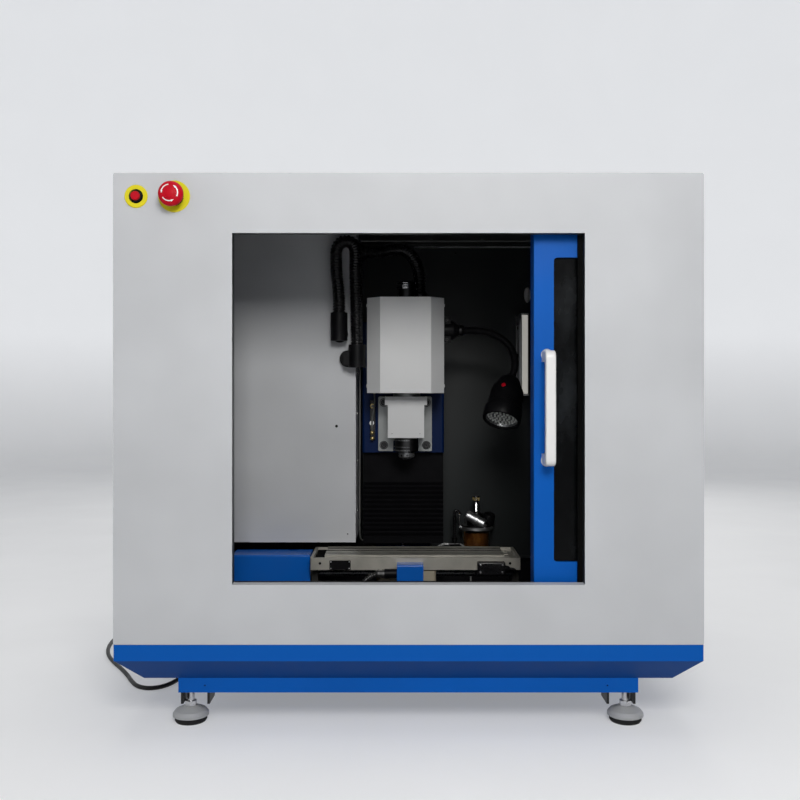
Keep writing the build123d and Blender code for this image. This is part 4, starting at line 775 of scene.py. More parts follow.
class Grower:
    """A geometry node tree with named inputs, and the means to run it once on an object."""

    def __init__(self, name: str) -> None:
        """Start a tree of a name, with a geometry input and output.

        Args:
            name: Name of the tree.
        """
        self.tree = bpy.data.node_groups.new(name, "GeometryNodeTree")
        for side in ("INPUT", "OUTPUT"):
            self.tree.interface.new_socket("Geometry", in_out=side, socket_type="NodeSocketGeometry")
        self.source = self.tree.nodes.new("NodeGroupInput")
        self.sink = self.tree.nodes.new("NodeGroupOutput")

    def input(self, name: str, kind: str, default: object = None) -> Socket:
        """Add a named input and return the socket that carries it.

        Args:
            name: Name of the input.
            kind: Kind of its socket, such as Float.
            default: Value that it has unless told otherwise.

        Returns:
            The socket that carries the value in the tree.
        """
        made = self.tree.interface.new_socket(name, in_out="INPUT", socket_type="NodeSocket" + kind)
        if default is not None:
            made.default_value = default
        return self.source.outputs[name]

    def add(self, kind: str, settings: dict | None = None, **inputs: object) -> bpy.types.Node:
        """Add a node.

        Args:
            kind: Blender's name of the node type.
            settings: Properties of the node.
            **inputs: Linked sockets or plain values by socket name, or by "i" and a number.

        Returns:
            The new node.
        """
        node = self.tree.nodes.new(kind)
        for key, value in (settings or {}).items():
            setattr(node, key, value)
        for key, value in inputs.items():
            target = node.inputs[int(key[1:])] if key[1:].isdigit() else node.inputs[key.replace("_", " ")]
            if isinstance(value, Socket):
                self.tree.links.new(value, target)
            else:
                target.default_value = value
        return node

    def math(self, operation: str, first: object, second: object = 0.0) -> Socket:
        """Add a Math node and return its result."""
        return self.add("ShaderNodeMath", {"operation": operation}, i0=first, i1=second).outputs[0]

    def joined(self, *parts: bpy.types.Node) -> Socket:
        """Join the geometry of nodes.

        Args:
            *parts: Nodes whose first output is geometry.

        Returns:
            The joined geometry.
        """
        node = self.add("GeometryNodeJoinGeometry")
        for part in parts:
            self.tree.links.new(part.outputs[0], node.inputs[0])
        return node.outputs[0]

    def raised(self, geometry: Socket, height: Socket) -> bpy.types.Node:
        """Move geometry up by a height."""
        lift = self.add("ShaderNodeCombineXYZ", Z=height)
        return self.add("GeometryNodeTransform", Geometry=geometry, Translation=lift.outputs[0])

    def coated(self, geometry: Socket, finish: Socket) -> bpy.types.Node:
        """Give geometry a finish."""
        return self.add("GeometryNodeSetMaterial", Geometry=geometry, Material=finish)

    def grow(self, host: Made, name: str, **values: object) -> Made:
        """Run the tree on an object and keep the plain mesh it makes.

        Args:
            host: Object that the tree starts from, removed afterwards.
            name: Name of the resulting piece.
            **values: Input values by name, spaces written as underscores.

        Returns:
            The resulting mesh piece.
        """
        modifier = host.modifiers.new("grow", "NODES")
        modifier.node_group = self.tree
        sockets = {item.name: item.identifier for item in self.tree.interface.items_tree
                   if item.item_type == "SOCKET" and item.in_out == "INPUT"}
        for key, value in values.items():
            modifier[sockets[key.replace("_", " ")]] = value
        return to_mesh(host, name)


class RibbedSleeve(Grower):
    """Corrugated tube that follows a curve."""

    RINGS = 6.0
    FULLNESS = 0.7

    def __init__(self) -> None:
        """Build the tree."""
        super().__init__("ribbed_sleeve")
        radius = self.input("Radius", "Float", 0.012)
        rib = self.input("Rib", "Float", 0.0015)
        pitch = self.input("Pitch", "Float", 0.004)
        sides = self.input("Sides", "Int", 24)
        finish = self.input("Finish", "Material")
        line = self.add("GeometryNodeResampleCurve", {"mode": "LENGTH"}, Curve=self.source.outputs[0],
                        Length=self.math("DIVIDE", pitch, self.RINGS))
        run = self.add("GeometryNodeSplineParameter").outputs["Length"]
        phase = self.math("MULTIPLY", self.math("DIVIDE", run, pitch), 2 * math.pi)
        wave = self.math("ADD", self.math("MULTIPLY", self.math("SINE", phase), 0.5), 0.5)
        wave = self.math("POWER", wave, self.FULLNESS)
        swell = self.math("ADD", radius, self.math("MULTIPLY", wave, rib))
        ring = self.add("GeometryNodeCurvePrimitiveCircle", Resolution=sides, Radius=1.0)
        skin = self.add("GeometryNodeCurveToMesh", Curve=line.outputs[0], Profile_Curve=ring.outputs[0],
                        Scale=swell, Fill_Caps=True)
        soft = self.add("GeometryNodeSetShadeSmooth", Geometry=skin.outputs[0])
        self.tree.links.new(self.coated(soft.outputs[0], finish).outputs[0], self.sink.inputs[0])

    def hose(self, name: str, route: tuple, radius: float, rib: float, pitch: float, finish: Finish,
             sides: int = 24) -> Made:
        """Make one corrugated hose.

        Args:
            name: Name of the piece.
            route: Points of its line.
            radius: Radius over the ribs in millimetres.
            rib: Height of a rib in millimetres.
            pitch: Distance from rib to rib in millimetres.
            finish: Finish of the hose.
            sides: Number of sides.

        Returns:
            The piece.
        """
        return self.grow(spline(name + "_line", route), name, Radius=(radius - rib) / 1000, Rib=rib / 1000,
                         Pitch=pitch / 1000, Sides=sides, Finish=finish)


class StudField(Grower):
    """Small turned heads on every vertex of a point mesh, each with a socket painted dark as shade."""

    CROWN = 0.72
    DOME = 0.35
    RECESS = 0.4
    RECESS_AT = 0.67

    def __init__(self, dark: Finish) -> None:
        """Build the tree, and keep the finish that sockets have unless told otherwise.

        Args:
            dark: Finish of the sockets, a painted shade.
        """
        super().__init__("stud_field")
        self.dark = dark
        radius = self.input("Head Radius", "Float", 0.003)
        height = self.input("Head Height", "Float", 0.0012)
        socket = self.input("Socket Radius", "Float", 0.0012)
        sides = self.input("Sides", "Int", 20)
        facing = self.input("Facing", "Vector", (0, 0, 1))
        finish = self.input("Finish", "Material")
        hollow = self.input("Socket Finish", "Material")
        base = self.add("GeometryNodeMeshCylinder", Vertices=sides, Radius=radius, Depth=height)
        dome = self.add("GeometryNodeMeshCone", Vertices=sides,
                        Radius_Top=self.math("MULTIPLY", radius, self.CROWN), Radius_Bottom=radius,
                        Depth=self.math("MULTIPLY", height, self.DOME))
        crown = self.raised(dome.outputs[0], self.math("MULTIPLY", height, 0.5))
        head = self.coated(self.joined(base, crown), finish)
        # The socket is a flat dark disc on the head's crown: painted shade for the hex recess.
        recess = self.add("GeometryNodeMeshCylinder", Vertices=6, Radius=socket,
                          Depth=self.math("MULTIPLY", height, self.RECESS))
        sunk = self.raised(recess.outputs[0], self.math("MULTIPLY", height, self.RECESS_AT))
        whole = self.joined(head, self.coated(sunk.outputs[0], hollow))
        aim = self.add("FunctionNodeAlignRotationToVector", {"axis": "Z"}, Vector=facing)
        spots = self.add("GeometryNodeMeshToPoints", Mesh=self.source.outputs[0])
        placed = self.add("GeometryNodeInstanceOnPoints", Points=spots.outputs[0], Instance=whole,
                          Rotation=aim.outputs[0])
        real = self.add("GeometryNodeRealizeInstances", Geometry=placed.outputs[0])
        self.tree.links.new(real.outputs[0], self.sink.inputs[0])

    def plant(self, name: str, places: list[Point | Vector], axis: Axis | Vector, radius: float,
              height: float, finish: Finish, socket: float = 0.45, sides: int = 20,
              dark: Finish | None = None) -> Made:
        """Make one piece that holds a head on each place.

        Args:
            name: Name of the piece.
            places: Points on the carrying surface.
            axis: Direction that the heads face.
            radius: Radius of a head in millimetres.
            height: Height of a head in millimetres.
            finish: Finish of the heads.
            socket: Socket radius as a share of the head's.
            sides: Number of sides of a head.
            dark: Finish of the sockets, if not the usual painted shade.

        Returns:
            The piece.
        """
        lift = way(axis) * height / 2000
        mesh = bpy.data.meshes.new(name + "_places")
        mesh.from_pydata([spot(place) + lift for place in places], [], [])
        return self.grow(link(name + "_places", mesh), name, Head_Radius=radius / 1000,
                         Head_Height=height / 1000, Socket_Radius=radius * socket / 1000, Sides=sides,
                         Facing=tuple(way(axis)), Finish=finish, Socket_Finish=dark or self.dark)


class Workshop:
    """What every sub-assembly builds with: the frame's nodes, the finishes and the node trees."""

    def __init__(self, nodes: dict) -> None:
        """Make the finishes and the trees for the nodes of a frame.

        Args:
            nodes: CAD objects by name.
        """
        self.nodes = nodes
        self.finishes = Palette()
        self.sleeve = RibbedSleeve()
        self.studs = StudField(self.finishes.dark_gap)

    def dress(self, material: Finish, *names: str) -> None:
        """Give the CAD nodes of some names a finish.

        Args:
            material: The finish.
            *names: Names of the nodes.
        """
        for name in names:
            self.nodes[name].data.materials.clear()
            self.nodes[name].data.materials.append(material)


@dataclass
class Assembly:
    """Base of the sub-assemblies: their workshop, and how their pieces are mounted."""

    shop: Workshop

    @property
    def look(self) -> Palette:
        """The machine's finishes."""
        return self.shop.finishes

    @property
    def plant(self) -> object:
        """Shorthand for StudField.plant."""
        return self.shop.studs.plant

    def mount(self, body: str, slot: str, *made: Made, stands_for: tuple[str, ...] = ()) -> None:
        """Let pieces ride a body.

        Args:
            body: Name of the body.
            slot: Finish slot that the pieces share; not used.
            *made: The pieces.
            stands_for: CAD nodes that the first piece replaces.
        """
        for item in made:
            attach(item, body)
        if stands_for:
            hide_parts(*stands_for)


# The machine


@dataclass
class MainsLead(Assembly):
    """The machine's supply lead: down behind, under the left side, out, and back to its coil."""

    diameter: float = 8.0
    length: float = 2.9
    floor: float = 4.2
    coil_x: float = -520.0
    coil_depth: float = 850.0
    layer: float = 8.0
    share: int = 14
    stages: tuple = ((45.0, 0), (37.0, 0), (37.0, 1), (45.0, 1), (37.0, 2), (45.0, 2))
    drop: tuple = (
        (-300, 774, 190), (-301, 800, 187), (-308, 822, 170), (-319, 836, 140), (-331, 842, 102),
        (-344, 840, 62), (-360, 830, 28), (-378, 812, 8))
    run: tuple = (
        (-396, 784), (-412, 744), (-424, 696), (-431, 642), (-434, 586), (-433, 530), (-429, 474),
        (-426, 418), (-427, 362), (-431, 312), (-438, 272), (-452, 240), (-477, 226), (-503, 238),
        (-522, 268), (-541, 306), (-566, 348), (-594, 390), (-619, 436), (-636, 488), (-643, 544),
        (-641, 600), (-632, 654), (-618, 704), (-601, 748), (-583, 780), (-565, 802))
    tail: tuple = ((-492, 895, 20.2), (-470, 895, 18), (-446, 894, 7), (-424, 891, 4.2), (-404, 886, 4.2))

    def coil(self) -> list[Point]:
        """Control points of the wound turns, clockwise from the coil's left side.

        Returns:
            Points in millimetres.
        """
        points, last = [], len(self.stages) - 1
        for step in range(last * self.share + self.share // 4 + 1):
            turn = step / self.share
            stage, part = int(turn), turn % 1
            blend = max(0.0, (part - 0.75) * 4) if stage < last else 0.0
            radius, level = (now * (1 - blend) + then * blend for now, then
                             in zip(self.stages[stage], self.stages[min(stage + 1, last)]))
            across, behind = around(radius, math.pi - 2 * math.pi * turn)
            points.append((self.coil_x + across, self.coil_depth + behind, self.floor + level * self.layer))
        return points

    def build(self) -> None:
        """Lay the lead."""
        flat = [(x, depth, self.floor) for x, depth in self.run]
        lead = spline("mains_lead_run", [*self.drop, *flat, *self.coil(), *self.tail], self.diameter / 2)
        lead.data.materials.append(self.look.lead_skin)
        self.shop.dress(self.look.black_plastic, "mains_plug", "mains_lead", "mains_coil")
        self.mount("cabinet", "rubber", lead, stands_for=("mains_lead", "mains_coil"))
        tuple(at(*self.drop[0]))


@dataclass
class Hoses(Assembly):
    """Corrugated conduits between the compartment, the bed and the head."""

    hose: tuple = (13.0, 2.4, 5.4)
    small: tuple = (5.0, 1.9, 4.6)
    loop: tuple = ((-136, 374, 710), (-136, 374, 748), (-142, 373, 792), (-142, 372, 853), (-102, 371, 853),
                   (-104, 371, 796), (-102, 373, 744), (-100, 374, 692), (-100, 374, 646))
    conduit: tuple = ((-43.5, 284, 205), (-62, 284, 205), (-85, 284, 189), (-104, 287, 163),
                      (-120, 294, 136), (-136, 308, 112), (-152, 332, 97), (-166, 364, 92),
                      (-176, 404, 92.5), (-184, 446, 92), (-190, 488, 92.5), (-194, 528, 95),
                      (-197, 564, 105), (-198.5, 594, 126), (-198.5, 616, 156), (-198, 625, 190),
                      (-198, 625, 227))
    riser: tuple = ((-88, 500, 847), (-60, 500, 847), (-28, 494, 854), (0, 482, 850), (19, 471, 827),
                    (27, 464, 797), (28, 462, 769), (28, 462, 740))
    gland: tuple = ((0, 0), (8.2, 0), (8.2, 4), (7.2, 5), (7.2, 8.4), (8.0, 9.2), (8.0, 12.6), (6.4, 16.4),
                    (0, 16.6))

    def build(self) -> None:
        """Make the three conduits."""
        ribbed, look = self.shop.sleeve.hose, self.look
        loop = ribbed("hose_loop", self.loop, *self.hose, look.hose_plastic)
        self.mount("cabinet", "black_plastic", loop, stands_for=("fixed_hoses",))
        conduit = ribbed("bed_conduit", self.conduit, *self.small, look.grey_conduit)
        gland = turned_piece("conduit_gland", self.gland, self.conduit[0], Axis.LEFT, look.grey_conduit, 12,
                             False)
        self.mount("cabinet", "black_plastic", conduit, gland, stands_for=("axis_conduit",))
        riser = ribbed("head_riser", self.riser, *self.hose, look.hose_plastic)
        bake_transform(riser)
        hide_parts("head_hose")


@dataclass
class WayCover(Assembly):
    """Pleated cover between the bed and the head."""

    middle: float = -7.0
    half: float = 86.0
    front: float = 500.0
    back: float = 543.0
    low: float = 225.0
    high: float = 420.6
    pleat_low: float = 238.0
    pitch: float = 9.9
    count: int = 12
    fold: float = 3.6

    def outline(self) -> Profile:
        """Depth and height pairs up the pleated face.

        Returns:
            Pairs in millimetres, from the foot up.
        """
        points = [(self.front, self.low), (self.front, self.pleat_low)]
        for pleat in range(self.count):
            foot = self.pleat_low + pleat * self.pitch
            points += [(self.front + self.fold * 0.8, foot + 1.2), (self.front + self.fold, foot + 2.4),
                       (self.front + self.fold * 0.85, foot + 4.0),
                       (self.front + 0.3, foot + self.pitch - 1.6), (self.front, foot + self.pitch - 0.8),
                       (self.front, foot + self.pitch)]
        return points + [(self.front, self.high)]

    def build(self) -> None:
        """Make the cover."""
        form, face = bmesh.new(), self.outline()
        inner = [(self.front + self.fold + 3.4, z) for _, z in reversed(face)]
        rows = [[form.verts.new(at(self.middle + side * self.half, depth, z)) for depth, z in face + inner]
                for side in (-1, 1)]
        count = len(rows[0])
        for index in range(count):
            after = (index + 1) % count
            form.faces.new([rows[0][index], rows[0][after], rows[1][after], rows[1][index]])
        for row in rows:
            for index in range(len(face) - 1):
                form.faces.new([row[index], row[index + 1], row[count - 2 - index], row[count - 1 - index]])
        for side in (-1, 1):
            edges = sorted((self.middle + side * (self.half - 3), self.middle + side * self.half))
            add_block(form, (edges[0], self.front + self.fold + 2, self.low),
                      (edges[1], self.back, self.high))
        cover = from_bmesh("pleated_way_cover", form, self.look.bellows)
        at(self.middle, self.front, 232)
        at(self.middle, self.front, 418)
        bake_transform(cover)
        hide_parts("way_cover")


@dataclass
class Controls(Assembly):
    """Mushroom stop button and small stop button on the front panel."""

    height: float = 870.0
    mushroom_x: float = -376.5
    button_x: float = -437.6
    arrow_radius: float = 13.0
    arrow_width: float = 1.7
    arrow_sweep: float = 88.0
    arrow_tip: float = 20.0
    arrow_steps: int = 14
    arrow_starts: tuple = (96, 214, 334)
    ribs: int = 24

    def crown(self, radius: float) -> float:
        """Depth of the arrows on the mushroom's domed face at a radius."""
        return -32.95 + 0.1 * max(0.0, radius - 9.6) + 0.14 * max(0.0, radius - 12.6) ** 1.5

    def arrow(self, form: Form, start: float) -> None:
        """Add one curved arrow that lies on the mushroom's face.

        Args:
            form: Bmesh that receives it.
            start: Angle of its tail in degrees.
        """
        half, steps, body = self.arrow_width / 2, self.arrow_steps, self.arrow_sweep - self.arrow_tip

        def vertex(radius: float, degrees: float) -> bmesh.types.BMVert:
            """A vertex of the arrow by its polar place."""
            across, up = around(radius, math.radians(degrees))
            return form.verts.new(at(self.mushroom_x + across, self.crown(radius), self.height + up))

        inner, outer = ([vertex(self.arrow_radius + side * half, start + body * step / steps)
                         for step in range(steps + 1)] for side in (-1, 1))
        for step in range(steps):
            form.faces.new([inner[step], inner[step + 1], outer[step + 1], outer[step]])
        form.faces.new([vertex(self.arrow_radius - 2.1 * half, start + body - 1),
                        vertex(self.arrow_radius, start + self.arrow_sweep),
                        vertex(self.arrow_radius + 2.1 * half, start + body - 1)])

    def mushroom(self) -> None:
        """Make the soft red head with its three turning arrows."""
        look, foot = self.look, (self.mushroom_x, 0, self.height)
        head = turned_piece("mushroom_head", [
            (18.2, 21), (19.5, 21.2), (20, 22), (20, 23.6), (19.4, 26.8), (18.0, 29.2), (15.4, 31.2),
            (12.6, 32.2), (9.6, 32.5), (8.8, 32.6), (8.7, 33.3), (8.2, 33.6), (0, 33.7)], foot, Axis.FRONT,
            look.red, 72)
        stem = turned_piece("mushroom_stem", [
            (0, 8), (8.8, 8), (8.8, 19.6), (10.6, 20.8), (18.2, 20.9), (18.2, 21.3), (0, 21.3)], foot,
            Axis.FRONT, look.black_plastic)
        form = bmesh.new()
        for start in self.arrow_starts:
            self.arrow(form, start)
        bmesh.ops.solidify(form, geom=form.faces[:], thickness=0.0006)
        self.mount("estop", "red_plastic", head, stem, from_bmesh("mushroom_arrows", form, look.white),
                   stands_for=("estop_head",))

    def bases(self) -> None:
        """Make both buttons' collars in place of the plain ones, and the small button's bezel."""
        form = bmesh.new()
        lathe(form, [(11, 1.3), (15, 1.3), (15, 12.6), (14.2, 14), (9.2, 14), (9.2, 1.3)],
              (self.mushroom_x, 0, self.height), Axis.FRONT)
        lathe(form, [(9.0, 1.3), (9.4, 1.8), (9.4, 4.6), (8.8, 5.6), (7.9, 5.9), (7.7, 5.2), (7.7, 1.3)],
              (self.button_x, 0, self.height), Axis.FRONT)
        for step in range(self.ribs):
            across, up = around(15, 2 * math.pi * step / self.ribs)
            lathe(form, [(0.9, 0), (0.9, 9.6)], (self.mushroom_x + across, -2.2, self.height + up),
                  Axis.FRONT, 6)
        for x in (self.mushroom_x, self.button_x):
            add_block(form, (x - 14, 8, self.height - 14), (x + 14, 44, self.height + 14), 1.2)
            lathe(form, [(7.6, 1.6), (15, 1.6), (15, 8), (7.6, 8)], (x, 0, self.height), Axis.BACK, 40)
        self.mount("cabinet", "black_plastic", from_bmesh("button_collars", form, self.look.black_plastic),
                   stands_for=("button_bases",))

    def cap(self) -> None:
        """Make the small button's low red cap with its dished face."""
        made = turned_piece("stop_button_face", [
            (7.3, 1.6), (7.3, 8.2), (6.7, 9.1), (5.6, 9.4), (3.0, 9.0), (0, 8.8)],
            (self.button_x, 0, self.height), Axis.FRONT, self.look.red)
        self.mount("stop_button", "red_plastic", made, stands_for=("stop_button_cap",))

    def ring_lines(self) -> None:
        """Raise two fine rims on each yellow ring, whose lettering is left off."""
        for name, x, radii in (("mushroom_ring_rims", self.mushroom_x, (19.4, 24.6)),
                               ("button_ring_rims", self.button_x, (11.2, 17.8))):
            form = bmesh.new()
            for radius in radii:
                lathe(form, [(radius - 0.25, 1.3), (radius - 0.15, 1.75), (radius + 0.15, 1.75),
                             (radius + 0.25, 1.3)], (x, 0, self.height), Axis.FRONT, 64)
            self.mount("cabinet", "yellow_plate", from_bmesh(name, form, self.look.black_plastic, True))

    def build(self) -> None:
        """Make both buttons."""
        self.mushroom()
        self.ring_lines()
        self.bases()
        self.cap()


@dataclass
class WorkLamp(Assembly):
    """Swan-neck lamp on the head: ribbed neck, ferrule, and a head with rings of light points."""

    arm: tuple = ((108, 440, 678), (140, 440, 678), (170, 438, 675), (197, 436, 662), (217, 434, 643),
                  (225, 432, 617), (223, 431, 592), (214, 431, 576))
    neck_size: tuple = (7.7, 1.1, 3.4)
    pivot: Point = (213, 431, 570)
    aim: Point = (-0.24, -0.48, -0.845)
    stretch: float = 15.0
    setback: float = 3.0
    switch_side: Point = (-9.9, -25.2, 17.2)

    def along(self, height: float, across: float = 0.0, turn: float = 0.0) -> Vector:
        """Point on the lamp head by its height along the aim and its polar place across it."""
        place = Vector((*around(across, turn), self.setback + height)) / 1000
        return at(*self.pivot) + turning(Vector(self.aim)).to_3x3() @ place

    def neck(self) -> None:
        """Grow the ribbed swan neck round the CAD arm, with a ferrule at its root."""
        look = self.look
        neck = self.shop.sleeve.hose("lamp_neck", self.arm, *self.neck_size, look.black_plastic, 20)
        ferrule = turned_piece("lamp_ferrule", [
            (8.0, 34), (11.2, 34.5), (11.4, 36), (11.4, 41), (9.6, 43.5), (7.2, 44)], (75, 440, 678),
            Axis.RIGHT, look.black_steel)
        screws = self.plant("lamp_mount_screws", [(83, 425.9, 698), (83, 425.9, 658)], Axis.FRONT, 3.4, 2.2,
                            look.black_steel)
        self.mount("head", "black_plastic", neck, ferrule, screws)

    def head(self) -> None:
        """Make the reflector with its light points, the shell with its cooling rims, and the switch."""
        look, reach = self.look, self.stretch
        direction, base = Vector(self.aim).normalized(), self.along(0)
        dish = [(0, 60.1), (33, 60.1), (33.1, 69), (32.4, 69.4), (31.2, 66), (30.2, 63.4), (0, 62.6)]
        reflector = turned_piece("lamp_reflector", [(radius, height + reach) for radius, height in dish],
                                 base, direction, look.reflector, 64)
        places = [self.along(62.7 + reach)]
        for radius, count in ((7.6, 6), (15.2, 12), (22.8, 18), (28.6, 24)):
            places += [self.along(62.9 + reach, radius, 2 * math.pi * step / count + radius)
                       for step in range(count)]
        points = self.plant("lamp_light_points", places, direction, 2.3, 2.4, look.light_point, 0.2, 14,
                            look.reflector)
        can = [(0, -17), (9, -16.4), (16, -13), (21, -6), (26, 5), (32.5, 17), (34.2, 32), (34.6, 55),
               (36.6, 60), (38.2, 63), (38.6, 65)]
        mouth = [(38.6, 72.4), (37.8, 73.6), (34.6, 73.8), (33.6, 73), (33.2, 60), (0, 60)]
        shell = turned_piece("lamp_shell", can + [(radius, height + reach) for radius, height in mouth],
                             base, direction, look.black_plastic, 64)
        rims = bmesh.new()
        for low in (48, 53):
            lathe(rims, [(34.2, low), (35.1, low + 0.4), (35.1, low + 1.6), (34.3, low + 2.0)], base,
                  direction, 64)
        outward = Vector(self.switch_side)
        switch = turned_piece("lamp_switch", [(4.6, 31), (4.6, 33.6), (3.8, 34.2), (3.0, 35.2), (0, 35.4)],
                              self.along(23.6), outward - outward.project(direction), look.red, 24)
        self.mount("lamp", "lens", reflector, points, stands_for=("lamp_lens",))
        self.mount("lamp", "black_plastic", shell, from_bmesh("lamp_rims", rims, look.black_plastic), switch,
                   stands_for=("lamp_head",))

    def build(self) -> None:
        """Make the neck and the head."""
        self.neck()
        self.head()


@dataclass
class Oiler(Assembly):
    """Hand oiler on the rear wall: oil in its cup, rim, slanted pump barrel, housing, pipes and knob."""

    x: float = 165.0
    depth: float = 690.0
    slant: Point = (0.86, -0.18, -0.44)
    ribs: int = 36

    def near(self, *places: Point) -> list[Point]:
        """Places told from the foot of the oiler's axis."""
        return [(self.x + across, self.depth + behind, z) for across, behind, z in places]

    def body(self) -> list[Made]:
        """Make the oil, the rim, the barrel and the housing.

        Returns:
            The pieces.
        """
        look, (foot, middle) = self.look, self.near((0, 0, 0), (-2, -22, 250))
        return [
            turned_piece("oil_fill", [(0, 156.6), (29.4, 156.6), (30.2, 158), (30.2, 219), (0, 219)], foot,
                         Axis.UP, look.oil, 64),
            turned_piece("oiler_rim", [(32.8, 225), (37.6, 225.4), (39, 227), (39, 231.5), (37.6, 233.2),
                                       (36.1, 233.4)], foot, Axis.UP, look.aluminium, 64),
            turned_piece("oiler_barrel", [(0, -26), (9.6, -26), (11.6, -24), (11.6, -4), (13.2, -3),
                                          (13.2, 3), (11.6, 4), (11.6, 20), (9.4, 22.5), (4, 23.4),
                                          (0, 23.4)], middle, self.slant, look.aluminium, 40),
            turned_piece("oiler_barrel_cap", [(0, 23), (8.6, 23), (8.6, 27), (7.4, 28.6), (0, 28.6)], middle,
                         self.slant, look.polished, 6),
            turned_piece("oiler_housing", [(0, -14), (13.2, -14), (14, -13), (14, 12), (12.6, 14), (6, 14),
                                           (6, 17), (0, 17)], *self.near((29, 0, 248)), (0.15, -0.3, 1),
                         look.black_plastic, 32),
            turned_piece("oiler_collar", [(5.3, 258), (11.6, 258.4), (12, 260), (12, 264), (9.6, 266),
                                          (8.2, 268), (8.2, 286.4), (7.6, 287.6), (5.3, 288)], foot, Axis.UP,
                         look.polished, 32),
            block_piece("oiler_bright_lug", look.polished, (*self.near((-41.6, -12, 228), (-38.2, 12, 262)),
                                                            0.6),
                        (*self.near((-41.6, -12, 228), (-30, 12, 230.4)), 0.6)),
        ]

    def pipes(self) -> list[Made]:
        """Make the black feed pipe, its banjo and the clear tubes at its foot.

        Returns:
            The pieces.
        """
        look = self.look
        feed = self.near((-36, 0, 258), (-41, 0, 266), (-49.6, 0, 270), (-50.2, 0, 258), (-50.4, 0, 230),
                         (-50.4, 0, 196))
        left = self.near((-63, 0, 190), (-73, 0, 191), (-84, -1, 188), (-95, -2, 181), (-98, -2, 168),
                         (-98, -2, 165.2))
        right = self.near((-37.8, 0, 190), (-28, -24, 188), (-20, -42, 176), (-16, -46, 150),
                          (-16, -46, 112), (-16, -46, 90))
        return [
            tube("oiler_feed_pipe", feed, 3.6, look.hose_plastic),
            turned_piece("oiler_banjo", [(0, -8), (5.6, -8), (5.6, -2), (6.8, -2), (6.8, 4), (5, 6), (0, 6)],
                         *self.near((-50.4, 0, 200)), Axis.UP, look.black_steel, 24),
            turned_piece("oiler_tee", [(0, -13), (4.6, -13), (4.6, 13), (0, 13)],
                         *self.near((-50.4, 0, 190)), Axis.RIGHT, look.black_steel, 24),
            tube("oiler_left_line", left, 2.1, look.tube),
            tube("oiler_right_line", right, 2.1, look.tube),
            turned_piece("oil_tube_unions", [(2.2, 0), (5.2, 0), (5.2, 4), (3.8, 4.6), (3.8, 8), (2.2, 8.4)],
                         self.near((-98, -2, 165.1), (-16, -46, 86.1)), Axis.UP, look.brass, 6, False),
        ]

    def build(self) -> None:
        """Make the oiler's details, with fine ribs round the pull knob's edge."""
        self.mount("cabinet", "aluminium", *self.body(), *self.pipes())
        feet = self.near(*((*around(8.5, 2 * math.pi * step / self.ribs), 293.4)
                           for step in range(self.ribs)))
        self.mount("oiler_knob", "brass", turned_piece("oiler_knob_ribs", [(0.55, 0), (0.55, 7.2)], feet,
                                                       Axis.UP, self.look.brass, 6, False))


